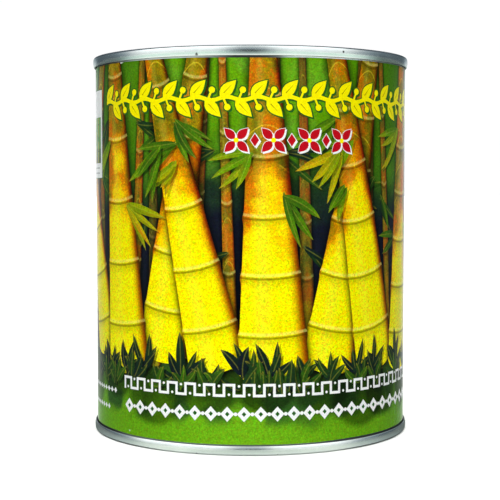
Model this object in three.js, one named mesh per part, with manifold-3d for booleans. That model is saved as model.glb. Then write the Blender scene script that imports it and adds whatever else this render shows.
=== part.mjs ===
// A sealed round food can of bamboo shoot tips: a welded tinplate body, two
// double-seamed tinplate ends with their lining compound, a lapped paper label,
// and sixteen trimmed shoot tips packed head to tail inside.
//
// Millimetres, +Z up. The origin is the centre of the circle that the can
// stands on, and the front of the label faces -Y.
import * as THREE from "three";
import { mergeVertices } from "three/addons/utils/BufferGeometryUtils.js";
import Module from "manifold-3d";

// ---- Driving dimensions --------------------------------------------------
const CAN_HEIGHT = 119.0; // over both double seams
const BODY_BORE_R = 49.5; // inside radius of the cylinder
const BODY_PLATE = 0.2; // tinplate of the cylinder
const END_PLATE = 0.22; // tinplate of the ends
const SEAM_OUTER_R = 50.7; // outside radius of the double seam
const SEAM_LENGTH = 3.1; // height of the double seam
const CHUCK_WALL_R = 49.34; // middle of the plate, against the body's inside
const COVER_HOOK_R = 49.93; // middle of the end's inner hook
const BODY_HOOK_R = 50.26; // middle of the body's turned-down flange
const COUNTERSINK = 4.55; // depth of the groove inside the seam
const LABEL_GAP = 0.05; // air between the tinplate and the paper
const LABEL_PAPER = 0.1; // thickness of the paper
const LABEL_BOTTOM = 3.25;
const LABEL_TOP = 115.7;
const LABEL_LAP_DEG = 9; // overlap of the label's two ends, at the back
const WELD_WIDTH = 0.9; // side seam weld, a low rib inside the body
const WELD_HEIGHT = 0.12;
const SIDES = 40; // facets round the can
const STEP_DEG = 360 / SIDES;

const SEAM_WALL_R = SEAM_OUTER_R - END_PLATE / 2;
const BODY_R = BODY_BORE_R + BODY_PLATE / 2;

// ---- Materials -----------------------------------------------------------
const steel = (color, roughness) =>
  new THREE.MeshStandardMaterial({ color, roughness, metalness: 1 });
const tinplateBody = steel(0xb9bcc0, 0.34);
const tinplateEnd = steel(0xc6c9cc, 0.28);
const compound = new THREE.MeshStandardMaterial({ color: 0x8d8a80, roughness: 0.8, metalness: 0 });
const labelPaper = new THREE.MeshStandardMaterial({ color: 0x5b9a1c, roughness: 0.38, metalness: 0 });
const shootFlesh = new THREE.MeshStandardMaterial({ color: 0xd9c66a, roughness: 0.55, metalness: 0 });

// ---- Profile helpers -----------------------------------------------------
// Turns the middle line of a sheet-metal section into its two faces: every
// point moves half the plate's thickness along the mitre of its two sides.
function plateFaces(line, thickness) {
  const left = [];
  const right = [];
  line.forEach(([r, z], i) => {
    const before = line[Math.max(0, i - 1)];
    const after = line[Math.min(line.length - 1, i + 1)];
    const unit = (a, b) => {
      const d = Math.hypot(b[0] - a[0], b[1] - a[1]);
      return [(b[0] - a[0]) / d, (b[1] - a[1]) / d];
    };
    const u = i ? unit(before, [r, z]) : unit([r, z], after);
    const v = i < line.length - 1 ? unit([r, z], after) : u;
    const nx = -(u[1] + v[1]);
    const nz = u[0] + v[0];
    const length = Math.hypot(nx, nz);
    // The mitre is longer than half the plate by one over its half angle.
    const cosHalf = length / 2;
    const half = thickness / 2 / cosHalf;
    left.push([r + (nx / length) * half, z + (nz / length) * half]);
    right.push([r - (nx / length) * half, z - (nz / length) * half]);
  });
  return { left, right };
}

const arc = (r, z, radius, fromDeg, toDeg, steps) =>
  Array.from({ length: steps + 1 }, (_, i) => {
    const a = THREE.MathUtils.degToRad(fromDeg + ((toDeg - fromDeg) * i) / steps);
    return [r + radius * Math.cos(a), z + radius * Math.sin(a)];
  });

// Spins a section (radius, height) round Z. The section closes on itself, or
// starts and ends on the axis, and runs anticlockwise seen with +r to the
// right and +z up.
function spin(section) {
  let area = 0;
  section.forEach(([r, z], i) => {
    const [r2, z2] = section[(i + 1) % section.length];
    area += r * z2 - r2 * z;
  });
  const path = (area > 0 ? section : [...section].reverse()).map(
    ([r, z]) => new THREE.Vector2(r, z),
  );
  const geometry = new THREE.LatheGeometry(path, SIDES);
  geometry.rotateX(Math.PI / 2);
  return geometry;
}

const closed = (points) => [...points, points[0]];
const mirrorHeight = (points) => points.map(([r, z]) => [r, CAN_HEIGHT - z]);

// ---- The end: hook, seaming wall, crown, chuck wall and beaded panel ------
function endLine() {
  const h = CAN_HEIGHT;
  return [
    [COVER_HOOK_R, h - 0.98],
    ...arc((COVER_HOOK_R + SEAM_WALL_R) / 2, h - SEAM_LENGTH + 0.44,
      (SEAM_WALL_R - COVER_HOOK_R) / 2, 180, 360, 3),
    [SEAM_WALL_R, h - 0.76],
    [SEAM_WALL_R - 0.13, h - 0.35],
    [SEAM_WALL_R - 0.42, h - END_PLATE / 2],
    [CHUCK_WALL_R + 0.42, h - END_PLATE / 2],
    [CHUCK_WALL_R + 0.13, h - 0.35],
    [CHUCK_WALL_R, h - 0.76],
    [49.22, h - 3.6],
    [48.86, h - COUNTERSINK + 0.1],
    [48.3, h - COUNTERSINK],
    [46.0, h - COUNTERSINK],
    [44.9, h - 3.4],
    [43.3, h - 3.4],
    [42.2, h - 4.4],
    [38.4, h - 4.4],
    [37.4, h - 3.8],
    [31.2, h - 3.8],
    [30.2, h - 3.3],
    [0, h - 3.3],
  ];
}

function endSection() {
  const { left, right } = plateFaces(endLine(), END_PLATE);
  // Both faces meet the axis square on.
  left[left.length - 1][0] = 0;
  right[right.length - 1][0] = 0;
  return [...left.reverse(), ...right];
}

// ---- The body: a straight wall flanged over into both seams ----------------
function bodySection() {
  const h = CAN_HEIGHT;
  const bend = (BODY_HOOK_R - BODY_R) / 2;
  const top = [
    [BODY_HOOK_R, h - 2.5],
    ...arc((BODY_HOOK_R + BODY_R) / 2, h - 0.9, bend, 0, 180, 4),
  ];
  const bottom = mirrorHeight([...top].reverse());
  const { left, right } = plateFaces([...top, ...bottom], BODY_PLATE);
  return closed([...left.reverse(), ...right]);
}

// ---- The lining compound in the crown of a seam ----------------------------
function compoundSection() {
  const h = CAN_HEIGHT;
  const outer = [
    [50.36, h - 0.5],
    [50.3, h - 0.4],
    [50.09, h - 0.27],
    [49.83, h - 0.27],
    [49.62, h - 0.4],
    [49.56, h - 0.5],
  ];
  const inner = arc((BODY_HOOK_R + BODY_R) / 2, h - 0.9, 0.5, 130, 50, 4);
  return closed([...outer, ...inner]);
}

// ---- The paper label: one strip wound once round, its end lapped on its start
function labelGeometry() {
  const start = 90; // the lap is on +Y, behind the can
  const inner = BODY_BORE_R + BODY_PLATE + LABEL_GAP;
  const lift = LABEL_PAPER + LABEL_GAP;
  const stations = [];
  // The first end lies on the can; the last end climbs over it.
  for (let deg = 0; deg <= 360 - STEP_DEG + 1e-6; deg += STEP_DEG)
    stations.push([deg, 0]);
  stations.push([360 - 1.5, 0.06]);
  stations.push([360 - 0.6, lift]);
  stations.push([360, lift]);
  stations.push([360 + LABEL_LAP_DEG, lift]);
  const at = (deg, r) => {
    const a = THREE.MathUtils.degToRad(start + deg);
    return new THREE.Vector2(r * Math.cos(a), r * Math.sin(a));
  };
  const outline = [
    ...stations.map(([deg, up]) => at(deg, inner + up + LABEL_PAPER)),
    ...stations.map(([deg, up]) => at(deg, inner + up)).reverse(),
  ];
  const geometry = new THREE.ExtrudeGeometry(new THREE.Shape(outline), {
    depth: LABEL_TOP - LABEL_BOTTOM,
    bevelEnabled: false,
    curveSegments: 1,
  });
  geometry.translate(0, 0, LABEL_BOTTOM);
  return geometry;
}

// ---- A shoot tip: a trimmed butt that swells a little, then tapers ----------
// radius, length, the taper's power, how far the tip leans and which way, the
// share by which it is flattened.
function shootGeometry({ radius, length, power, lean, leanDeg, flat }) {
  const rings = 8;
  const around = 10;
  const profile = [new THREE.Vector2(0, 0)];
  for (let i = 0; i <= rings; i++) {
    const x = i / rings;
    const swell = 1 - 0.07 * Math.exp(-x * 14);
    const r = radius * swell * (1 - Math.pow(x, power)) + 0.8 * x;
    profile.push(new THREE.Vector2(r, x * (length - 1.2)));
  }
  profile.push(new THREE.Vector2(0, length));
  const geometry = new THREE.LatheGeometry(profile, around);
  geometry.rotateX(Math.PI / 2);
  const p = geometry.getAttribute("position");
  const dir = THREE.MathUtils.degToRad(leanDeg);
  for (let i = 0; i < p.count; i++) {
    const x = p.getZ(i) / length;
    p.setXYZ(
      i,
      p.getX(i) + lean * x * x * Math.cos(dir),
      p.getY(i) * (1 - flat) + lean * x * x * Math.sin(dir),
      p.getZ(i),
    );
  }
  return geometry;
}

// ---- Solid joins ---------------------------------------------------------
const wasm = await Module();
wasm.setup();

function solid(geometry) {
  const bare = geometry.clone();
  for (const name of Object.keys(bare.attributes))
    if (name !== "position") bare.deleteAttribute(name);
  const merged = mergeVertices(bare, 1e-4);
  return new wasm.Manifold(
    new wasm.Mesh({
      numProp: 3,
      vertProperties: new Float32Array(merged.attributes.position.array),
      triVerts: new Uint32Array(merged.index.array),
    }),
  );
}

function geometryOf(manifold) {
  const m = manifold.getMesh();
  const geometry = new THREE.BufferGeometry();
  const xyz = new Float32Array(m.numVert * 3);
  for (let i = 0; i < m.numVert; i++)
    xyz.set(m.vertProperties.subarray(i * m.numProp, i * m.numProp + 3), i * 3);
  geometry.setAttribute("position", new THREE.BufferAttribute(xyz, 3));
  geometry.setIndex(new THREE.BufferAttribute(new Uint32Array(m.triVerts), 1));
  geometry.computeVertexNormals();
  return geometry;
}

// The body with its side seam weld: a low rib down the inside of the wall.
function bodyGeometry() {
  const wall = solid(spin(bodySection()));
  const rib = new THREE.BoxGeometry(WELD_HEIGHT + 0.15, WELD_WIDTH, CAN_HEIGHT - 12);
  rib.translate(BODY_BORE_R - WELD_HEIGHT + (WELD_HEIGHT + 0.15) / 2, 0, CAN_HEIGHT / 2);
  rib.rotateZ(THREE.MathUtils.degToRad(STEP_DEG * 6));
  return geometryOf(wall.add(solid(rib)));
}

// ---- Assembly --------------------------------------------------------------
const can = new THREE.Group();
can.name = "can_of_bamboo_shoot_tips";

function piece(name, geometry, material, parent = can) {
  const mesh = new THREE.Mesh(geometry, material);
  mesh.name = name;
  parent.add(mesh);
  return mesh;
}

piece("can_body", bodyGeometry(), tinplateBody);
piece("top_end", spin(endSection()), tinplateEnd);
piece("bottom_end", spin(mirrorHeight(endSection())), tinplateEnd);
piece("top_seam_compound", spin(compoundSection()), compound);
piece("bottom_seam_compound", spin(mirrorHeight(compoundSection())), compound);
piece("paper_label", labelGeometry(), labelPaper);

// The shoot tips stand head to tail in two rings: twelve round the wall and
// four in the middle, every second one with its cut butt upwards.
const SHOOT_FLOOR = 5.1;
const SHOOT_FLOOR_MIDDLE = 3.8;
const RING_R = 35.6;
const MIDDLE_R = 11.4;
const contents = new THREE.Group();
can.add(contents);

const outerTips = [
  [12.8, 106, 1.6, 0.6, 0.03], [12.9, 104, 1.56, 0.5, 0.05],
  [12.6, 103, 1.62, 0.8, 0.02], [12.9, 107, 1.54, 0.4, 0.04],
  [13.0, 105, 1.54, 0.6, 0.06], [12.6, 102, 1.62, 0.7, 0.03],
  [12.7, 108, 1.56, 0.5, 0.02], [12.9, 104, 1.58, 0.6, 0.05],
  [12.9, 106, 1.56, 0.8, 0.04], [12.5, 101, 1.66, 0.5, 0.03],
  [12.8, 107, 1.56, 0.6, 0.05], [12.8, 103, 1.6, 0.4, 0.02],
];
const middleTips = [
  [10.8, 106, 1.62, 0.5, 0.04], [11.0, 108, 1.6, 0.4, 0.03],
  [10.7, 103, 1.66, 0.5, 0.05], [10.9, 107, 1.62, 0.4, 0.02],
];

function standTip(number, [radius, length, power, lean, flat], ringR, deg, floor) {
  const geometry = shootGeometry({ radius, length, power, lean, leanDeg: 180, flat });
  const spot = new THREE.Group();
  spot.rotation.z = THREE.MathUtils.degToRad(deg);
  const tip = piece(`shoot_tip_${String(number).padStart(2, "0")}`, geometry, shootFlesh, spot);
  tip.position.x = ringR;
  if (number % 2) {
    tip.position.z = floor;
  } else {
    tip.position.z = CAN_HEIGHT - floor;
    tip.rotation.x = Math.PI;
  }
  contents.add(spot);
}

outerTips.forEach((t, i) => standTip(i + 1, t, RING_R, i * 30 + 9, SHOOT_FLOOR));
middleTips.forEach((t, i) => standTip(i + 13, t, MIDDLE_R, i * 90 + 24, SHOOT_FLOOR_MIDDLE));

export default can;
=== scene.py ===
"""Blender looks for the sealed tin can with a paper label: fine metalwork, a printed label with a generic
bamboo-grove design, the shoot tips inside, a pale floor, soft studio light and the photograph's camera."""

import math
import random

import bpy
import numpy as np
from mathutils.geometry import delaunay_2d_cdt
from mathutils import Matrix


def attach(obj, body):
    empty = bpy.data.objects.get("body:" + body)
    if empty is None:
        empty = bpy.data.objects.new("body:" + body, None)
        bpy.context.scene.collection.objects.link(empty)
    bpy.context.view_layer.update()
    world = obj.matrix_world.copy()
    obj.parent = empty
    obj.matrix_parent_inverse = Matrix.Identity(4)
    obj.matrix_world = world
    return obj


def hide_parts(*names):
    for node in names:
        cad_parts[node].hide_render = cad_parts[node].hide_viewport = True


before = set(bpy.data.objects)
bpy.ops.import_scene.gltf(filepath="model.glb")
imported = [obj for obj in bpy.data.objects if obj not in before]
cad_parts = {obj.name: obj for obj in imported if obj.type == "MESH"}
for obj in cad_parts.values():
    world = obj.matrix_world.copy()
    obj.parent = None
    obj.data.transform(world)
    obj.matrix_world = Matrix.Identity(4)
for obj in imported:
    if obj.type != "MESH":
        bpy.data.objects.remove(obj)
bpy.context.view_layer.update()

MM = 0.001
H = 119.0
DEG = math.pi / 180

# ============================================================================
# Stage: camera, world light and floor
# ============================================================================
scene = bpy.context.scene
scene.view_settings.view_transform = "Standard"
scene.view_settings.look = "None"

cam_data = bpy.data.cameras.new("camera")
cam_data.sensor_width = 36.0
cam_data.lens = 93.46
cam_data.shift_x = -0.0007
cam_data.clip_start, cam_data.clip_end = 0.01, 60.0
cam = bpy.data.objects.new("camera", cam_data)
cam.location = (0.0, -0.4246, 0.0802)
cam.rotation_euler = ((90.0 - 3.083) * DEG, 0.0, 0.0)
scene.collection.objects.link(cam)
scene.camera = cam


class Nodes:
    """A node tree written as expressions: every method returns an output socket."""

    def __init__(self, tree):
        self.tree = tree
        tree.nodes.clear()

    def _set(self, socket, value):
        if isinstance(value, bpy.types.NodeSocket):
            self.tree.links.new(value, socket)
        elif value is not None:
            if hasattr(socket.default_value, "__len__") and not hasattr(value, "__len__"):
                value = [value] * len(socket.default_value)
            if hasattr(socket.default_value, "__len__") and len(value) < len(socket.default_value):
                value = (*value, 1.0)
            socket.default_value = value

    def add(self, kind, props=None, **inputs):
        node = self.tree.nodes.new(kind)
        for key, value in (props or {}).items():
            setattr(node, key, value)
        for key, value in inputs.items():
            self._set(node.inputs[key], value)
        return node

    def math(self, op, a, b=None, c=None, clamp=False):
        node = self.tree.nodes.new("ShaderNodeMath")
        node.operation, node.use_clamp = op, clamp
        for i, v in enumerate((a, b, c)):
            if v is not None:
                self._set(node.inputs[i], v)
        return node.outputs[0]

    def mul(self, a, b):
        return self.math("MULTIPLY", a, b)

    def plus(self, a, b):
        return self.math("ADD", a, b)

    def minus(self, a, b):
        return self.math("SUBTRACT", a, b)

    def vmath(self, op, a, b=None, scale=None):
        node = self.tree.nodes.new("ShaderNodeVectorMath")
        node.operation = op
        self._set(node.inputs[0], a)
        if b is not None:
            self._set(node.inputs[1], b)
        if scale is not None:
            self._set(node.inputs["Scale"], scale)
        return node.outputs["Value" if op in ("DISTANCE", "LENGTH", "DOT_PRODUCT") else "Vector"]

    def split(self, vector):
        node = self.add("ShaderNodeSeparateXYZ")
        self._set(node.inputs[0], vector)
        return node.outputs[0], node.outputs[1], node.outputs[2]

    def join(self, x, y, z):
        node = self.add("ShaderNodeCombineXYZ")
        for i, v in enumerate((x, y, z)):
            self._set(node.inputs[i], v)
        return node.outputs[0]

    def smooth(self, value, low, high, out_low=0.0, out_high=1.0, kind="SMOOTHSTEP"):
        node = self.tree.nodes.new("ShaderNodeMapRange")
        node.interpolation_type = kind
        for key, v in zip(("Value", "From Min", "From Max", "To Min", "To Max"), (value, low, high, out_low, out_high)):
            self._set(node.inputs[key], v)
        return node.outputs[0]

    def ramp(self, fac, stops, mode="LINEAR"):
        node = self.tree.nodes.new("ShaderNodeValToRGB")
        band = node.color_ramp
        band.interpolation = mode
        while len(band.elements) > 1:
            band.elements.remove(band.elements[-1])
        for i, (at, colour) in enumerate(stops):
            e = band.elements[0] if i == 0 else band.elements.new(at)
            e.position = at
            e.color = (*colour, 1.0) if len(colour) == 3 else colour
        self._set(node.inputs[0], fac)
        return node.outputs[0]

    def mix(self, fac, a, b, blend="MIX"):
        node = self.tree.nodes.new("ShaderNodeMix")
        node.data_type, node.blend_type = "RGBA", blend
        node.clamp_factor = True
        self._set(node.inputs[0], fac)
        self._set(node.inputs[6], a)
        self._set(node.inputs[7], b)
        return node.outputs[2]

    def noise(self, vector, scale=1.0, detail=3.0, rough=0.5, distort=0.0, colour=False, dims="3D"):
        node = self.tree.nodes.new("ShaderNodeTexNoise")
        node.noise_dimensions = dims
        self._set(node.inputs["Vector"], vector)
        for key, v in (("Scale", scale), ("Detail", detail), ("Roughness", rough), ("Distortion", distort)):
            self._set(node.inputs[key], v)
        return node.outputs[1 if colour else 0]

    def voronoi(self, vector, scale=1.0, feature="F1", out="Distance", randomness=1.0):
        node = self.tree.nodes.new("ShaderNodeTexVoronoi")
        node.feature = feature
        self._set(node.inputs["Vector"], vector)
        self._set(node.inputs["Scale"], scale)
        self._set(node.inputs["Randomness"], randomness)
        return node.outputs[out]

    def object_mm(self):
        coord = self.tree.nodes.new("ShaderNodeTexCoord")
        return self.vmath("SCALE", coord.outputs["Object"], scale=1000.0)

    def attribute(self, name):
        node = self.tree.nodes.new("ShaderNodeAttribute")
        node.attribute_type, node.attribute_name = "GEOMETRY", name
        return node.outputs["Vector"]

    def bump(self, height, depth_mm, normal=None, strength=1.0):
        node = self.tree.nodes.new("ShaderNodeBump")
        node.inputs["Strength"].default_value = strength
        node.inputs["Distance"].default_value = depth_mm * MM
        self._set(node.inputs["Height"], height)
        if normal is not None:
            self._set(node.inputs["Normal"], normal)
        return node.outputs[0]


def material(name):
    mat = bpy.data.materials.new(name)
    mat.use_nodes = True
    n = Nodes(mat.node_tree)
    n.out = n.add("ShaderNodeOutputMaterial")
    n.shader = n.add("ShaderNodeBsdfPrincipled")
    n.tree.links.new(n.shader.outputs[0], n.out.inputs[0])
    return mat, n


def finish_shader(n, colour, roughness, normal=None, metallic=0.0, specular=0.5, **fixed):
    s = n.shader
    n._set(s.inputs["Base Color"], colour)
    n._set(s.inputs["Roughness"], roughness)
    s.inputs["Metallic"].default_value = metallic
    s.inputs["Specular IOR Level"].default_value = specular
    for key, value in fixed.items():
        s.inputs[key.replace("_", " ")].default_value = value
    if normal is not None:
        n._set(s.inputs["Normal"], normal)


def make_world():
    world = bpy.data.worlds.new("studio")
    scene.world = world
    world.use_nodes = True
    n = Nodes(world.node_tree)
    direction = n.add("ShaderNodeTexCoord").outputs["Generated"]
    x, y, z = n.split(direction)
    # |azimuth| from the camera side, in degrees, and elevation in degrees
    turn = n.mul(n.math("ARCTAN2", x, n.mul(y, -1.0)), 180 / math.pi)
    azimuth = n.math("ABSOLUTE", turn)
    elevation = n.mul(n.math("ARCSINE", n.math("MAXIMUM", n.math("MINIMUM", z, 1.0), -1.0)), 180 / math.pi)
    # what the metal mirrors: two wide soft boxes with a gap at the camera, slate sides, a pale backdrop
    up = n.smooth(elevation, -90.0, 90.0, kind="LINEAR")

    def climb(*stops):
        return n.ramp(up, [((e + 90.0) / 180.0, (v, v, v)) for e, v in stops])

    def fall(value, *stops):
        return n.ramp(n.smooth(value, 0.0, 180.0, kind="LINEAR"), [(a / 180.0, (v, v, v)) for a, v in stops])

    raised = n.mul(n.math("MAXIMUM", elevation, 0.0), 0.16)
    left = fall(n.minus(n.mul(turn, -1.0), raised), (74, 1.0), (83, 0.92), (88, 0.76), (93.3, 0.52), (98, 0.39), (104, 0.286), (109, 0.21), (115, 0.158), (121, 0.13), (130, 0.06), (140, 0.0))
    right = fall(n.minus(turn, raised), (55, 1.0), (60, 0.97), (66, 0.87), (75, 0.65), (84.4, 0.38), (90, 0.31), (95, 0.26), (101, 0.20), (107, 0.155), (116, 0.138), (124, 0.10), (135, 0.0))
    box = n.mul(left, right)
    middle = n.smooth(azimuth, 4.5, 27.0, 1.0, 0.0)
    gap = n.mul(middle, climb((-90, 0.99), (1, 0.98), (5, 0.82), (9, 0.70), (14, 0.66), (18, 0.64), (29, 0.60), (50, 0.46)))
    box = n.mul(box, n.minus(1.0, gap))
    high = n.mul(n.smooth(elevation, -6.0, 34.0, 1.02, 2.3), n.smooth(elevation, 52.0, 68.0, 1.0, 0.0))
    front = n.mul(box, high)
    back = n.mul(n.smooth(azimuth, 142.0, 160.0), climb((-90, 0.90), (2, 0.90), (10, 0.16), (22, 0.32), (38, 0.50), (58, 0.50), (70, 0.46)))
    rest = climb((-90, 0.16), (16, 0.16), (27, 0.60), (58, 0.64), (66, 0.54), (80, 0.48), (87, 0.50), (90, 0.50))
    rest = n.mul(rest, n.minus(1.0, n.mul(middle, climb((-90, 0.85), (5, 0.85), (18, 0.0)))))
    level = n.math("MAXIMUM", n.math("MAXIMUM", front, back), rest)
    tint = n.mix(n.smooth(level, 0.1, 1.0), (0.66, 0.89, 1.00), (0.93, 1.0, 0.985))
    mirror = n.vmath("SCALE", tint, scale=level)
    # what lights the paper and the floor: a broad soft light from the camera side and from above
    toward = n.vmath("DOT_PRODUCT", direction, (-0.05, -0.94, 0.34))
    key = n.mul(n.smooth(toward, 0.5, 0.95, 0.0, 1.0), KEY)
    overhead = n.mul(n.smooth(elevation, 56.0, 74.0), OVERHEAD)
    behind = n.vmath("DOT_PRODUCT", direction, (0.0, 0.94, 0.34))
    fill = n.mul(n.smooth(behind, 0.45, 0.95, 0.0, 1.0), FILL)
    soft = n.plus(n.plus(key, overhead), n.plus(fill, AMBIENT))
    tinted = n.vmath("SCALE", (1.0, 1.0, 0.985), scale=soft)
    rays = n.add("ShaderNodeLightPath")
    colour = n.mix(rays.outputs["Is Diffuse Ray"], mirror, tinted)
    lit = n.add("ShaderNodeBackground", Color=colour, Strength=1.0)
    seen = n.add("ShaderNodeBackground", Color=(1.0, 1.0, 1.0, 1.0), Strength=1.02)
    mixed = n.add("ShaderNodeMixShader", Fac=rays.outputs["Is Camera Ray"])
    n.tree.links.new(lit.outputs[0], mixed.inputs[1])
    n.tree.links.new(seen.outputs[0], mixed.inputs[2])
    out = n.add("ShaderNodeOutputWorld")
    n.tree.links.new(mixed.outputs[0], out.inputs[0])


KEY, OVERHEAD, FILL, AMBIENT = 2.3, 4.6, 1.1, 0.06
make_world()


def make_floor():
    mesh = bpy.data.meshes.new("studio_floor")
    ring = 96
    verts = [(0.0, 0.0, 0.0)]
    faces = []
    radii = (0.06, 0.12, 0.3, 0.8, 2.0, 6.0)
    for r in radii:
        verts += [(r * math.cos(i * 2 * math.pi / ring), r * math.sin(i * 2 * math.pi / ring), 0.0) for i in range(ring)]
    for i in range(ring):
        faces.append((0, 1 + i, 1 + (i + 1) % ring))
    for k in range(len(radii) - 1):
        a, b = 1 + k * ring, 1 + (k + 1) * ring
        for i in range(ring):
            j = (i + 1) % ring
            faces.append((a + i, b + i, b + j, a + j))
    mesh.from_pydata(verts, [], faces)
    floor = bpy.data.objects.new("studio_floor", mesh)
    floor.location.z = -0.00005
    scene.collection.objects.link(floor)
    mat, n = material("floor_paper")
    p = n.object_mm()
    grain = n.noise(p, 0.02, 2.0)
    colour = n.mix(grain, (0.94, 0.94, 0.92), (0.96, 0.96, 0.94))
    # painted shade on the floor, seen by glossy rays only: what the metal mirrors of it is darker by direction and
    # distance from the can
    x, y, _ = n.split(p)
    azimuth = n.mul(n.math("ABSOLUTE", n.math("ARCTAN2", x, n.mul(y, -1.0))), 180 / math.pi)
    reach = n.vmath("LENGTH", p)
    slant = n.math("ABSOLUTE", n.plus(n.mul(n.math("ARCTAN2", x, n.mul(y, -1.0)), 180 / math.pi), 2.3))
    near = n.plus(n.smooth(slant, 27.0, 65.0, 0.64, 0.0), n.smooth(slant, 58.0, 88.0, 0.36, 0.17))
    far = n.plus(n.smooth(slant, 72.0, 112.0, 1.0, 0.15), n.smooth(slant, 142.0, 160.0, 0.0, 0.40))
    away = n.smooth(reach, 100.0, 210.0)
    side = n.plus(n.mul(near, n.minus(1.0, away)), n.mul(far, away))
    middle = n.smooth(azimuth, 3.0, 27.0, 1.0, 0.0)
    lane = [(0.0255, 1.0), (0.0270, 0.80), (0.0289, 0.68), (0.0333, 0.62), (0.0400, 0.78), (0.060, 0.95), (0.090, 1.0), (0.125, 0.86),
            (0.18, 0.44), (0.256, 0.24), (0.43, 0.11), (0.76, 0.03), (1.0, 0.02)]
    lane = n.ramp(n.smooth(reach, 0.0, 2000.0, kind="LINEAR"), [(at, (v, v, v)) for at, v in lane])
    side = n.mul(side, n.minus(1.0, n.mul(middle, n.minus(1.0, lane))))
    dim = n.join(n.mul(side, n.smooth(side, 0.3, 1.0, 0.85, 0.94)), side, n.mul(side, n.smooth(side, 0.3, 1.0, 0.99, 0.95)))
    belt = n.mul(n.smooth(reach, 330.0, 480.0), n.smooth(reach, 900.0, 2200.0, 1.0, 0.0))
    dim = n.mix(n.mul(belt, 0.9), dim, n.mix(1.0, dim, (0.62, 0.77, 0.72), "MULTIPLY"))
    # the strip of shade right under the seam
    shade = n.mul(n.smooth(reach, 50.72, 51.2, 1.0, 0.0), n.smooth(azimuth, 22.0, 46.0, 0.22, 0.82))
    dim = n.vmath("SCALE", dim, scale=n.mul(n.minus(1.0, shade), 0.955))
    rays = n.add("ShaderNodeLightPath")
    colour = n.mix(rays.outputs["Is Glossy Ray"], colour, n.mix(1.0, colour, dim, "MULTIPLY"))
    # painted shade for the floor's bounce light: diffuse rays see it at 0.16 of its colour
    colour = n.mix(n.mul(rays.outputs["Is Diffuse Ray"], 0.84), colour, (0.0, 0.0, 0.0))
    finish_shader(n, colour, 0.85, specular=0.1)
    mesh.materials.append(mat)


make_floor()


# ============================================================================
# Metalwork helpers
# ============================================================================
def add_object(name, mesh, slot, *replaced):
    ob = bpy.data.objects.new(name, mesh)
    scene.collection.objects.link(ob)
    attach(ob, "root")
    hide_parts(*replaced)
    return ob


def rounded(line, radius, steps=4):
    """The line with each inner corner cut to a curve that starts up to radius from it."""
    out = [line[0]]
    for a, b, c in zip(line, line[1:], line[2:]):
        a, b, c = np.array(a), np.array(b), np.array(c)
        la, lc = np.linalg.norm(a - b), np.linalg.norm(c - b)
        cosine = float(np.dot(a - b, c - b) / (la * lc))
        if cosine < -0.999:
            out.append(tuple(b))
            continue
        r = min(radius, 0.48 * la, 0.48 * lc)
        p, q = b + (a - b) * r / la, b + (c - b) * r / lc
        for i in range(steps + 1):
            t = i / steps
            out.append(tuple((1 - t) ** 2 * p + 2 * t * (1 - t) * b + t * t * q))
    out.append(line[-1])
    return out


def plate_faces(line, thickness):
    pts = np.array(line)
    d = np.diff(pts, axis=0)
    d /= np.linalg.norm(d, axis=1)[:, None]
    before = np.vstack([d[:1], d])
    after = np.vstack([d, d[-1:]])
    nrm = np.stack([-(before[:, 1] + after[:, 1]), before[:, 0] + after[:, 0]], 1)
    length = np.linalg.norm(nrm, axis=1)
    half = thickness / 2 / (length / 2)
    off = nrm / length[:, None] * half[:, None]
    return pts + off, pts - off


def lathe(name, section, closed, segments, slots=None, smooth_deg=32):
    """Spins (r, z) points in mm round Z. closed joins the last point to the first; an open section starts and ends on the axis."""
    section = [tuple(map(float, p)) for p in section]
    area = sum(a[0] * b[1] - b[0] * a[1] for a, b in zip(section, section[1:] + section[:1]))
    order = list(range(len(section)))
    if area < 0:
        section, order = section[::-1], order[::-1]
    verts, index = [], []
    for r, z in section:
        if r < 1e-6:
            index.append([len(verts)] * segments)
            verts.append((0.0, 0.0, z * MM))
        else:
            index.append(list(range(len(verts), len(verts) + segments)))
            for k in range(segments):
                a = 2 * math.pi * k / segments
                verts.append((r * MM * math.cos(a), r * MM * math.sin(a), z * MM))
    faces, owner = [], []
    pairs = list(zip(range(len(section)), range(1, len(section))))
    if closed:
        pairs.append((len(section) - 1, 0))
    for i, j in pairs:
        for k in range(segments):
            m = (k + 1) % segments
            quad = [index[i][k], index[i][m], index[j][m], index[j][k]]
            clean = [v for n_, v in enumerate(quad) if v != quad[n_ - 1]]
            if len(clean) >= 3:
                faces.append(clean)
                owner.append((order[i], order[j]))
    mesh = bpy.data.meshes.new(name)
    mesh.from_pydata(verts, [], faces)
    mesh.validate()
    if slots:
        for poly, who in zip(mesh.polygons, owner):
            poly.material_index = slots(who, poly)
    mesh.polygons.foreach_set("use_smooth", [True] * len(mesh.polygons))
    mesh.update()
    mesh.set_sharp_from_angle(angle=smooth_deg * DEG)
    return mesh


def arc(r, z, radius, start, stop, steps):
    return [
        (r + radius * math.cos((start + (stop - start) * i / steps) * DEG), z + radius * math.sin((start + (stop - start) * i / steps) * DEG))
        for i in range(steps + 1)
    ]


def mirrored(points):
    return [(r, H - z) for r, z in points]


# ============================================================================
# Metal and lacquer materials
# ============================================================================
def polar(n, p):
    """(radius, angle in degrees, height) of a point in mm."""
    x, y, z = n.split(p)
    radius = n.math("SQRT", n.plus(n.mul(x, x), n.mul(y, y)))
    angle = n.mul(n.math("ARCTAN2", y, x), 180 / math.pi)
    return radius, angle, z


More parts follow.
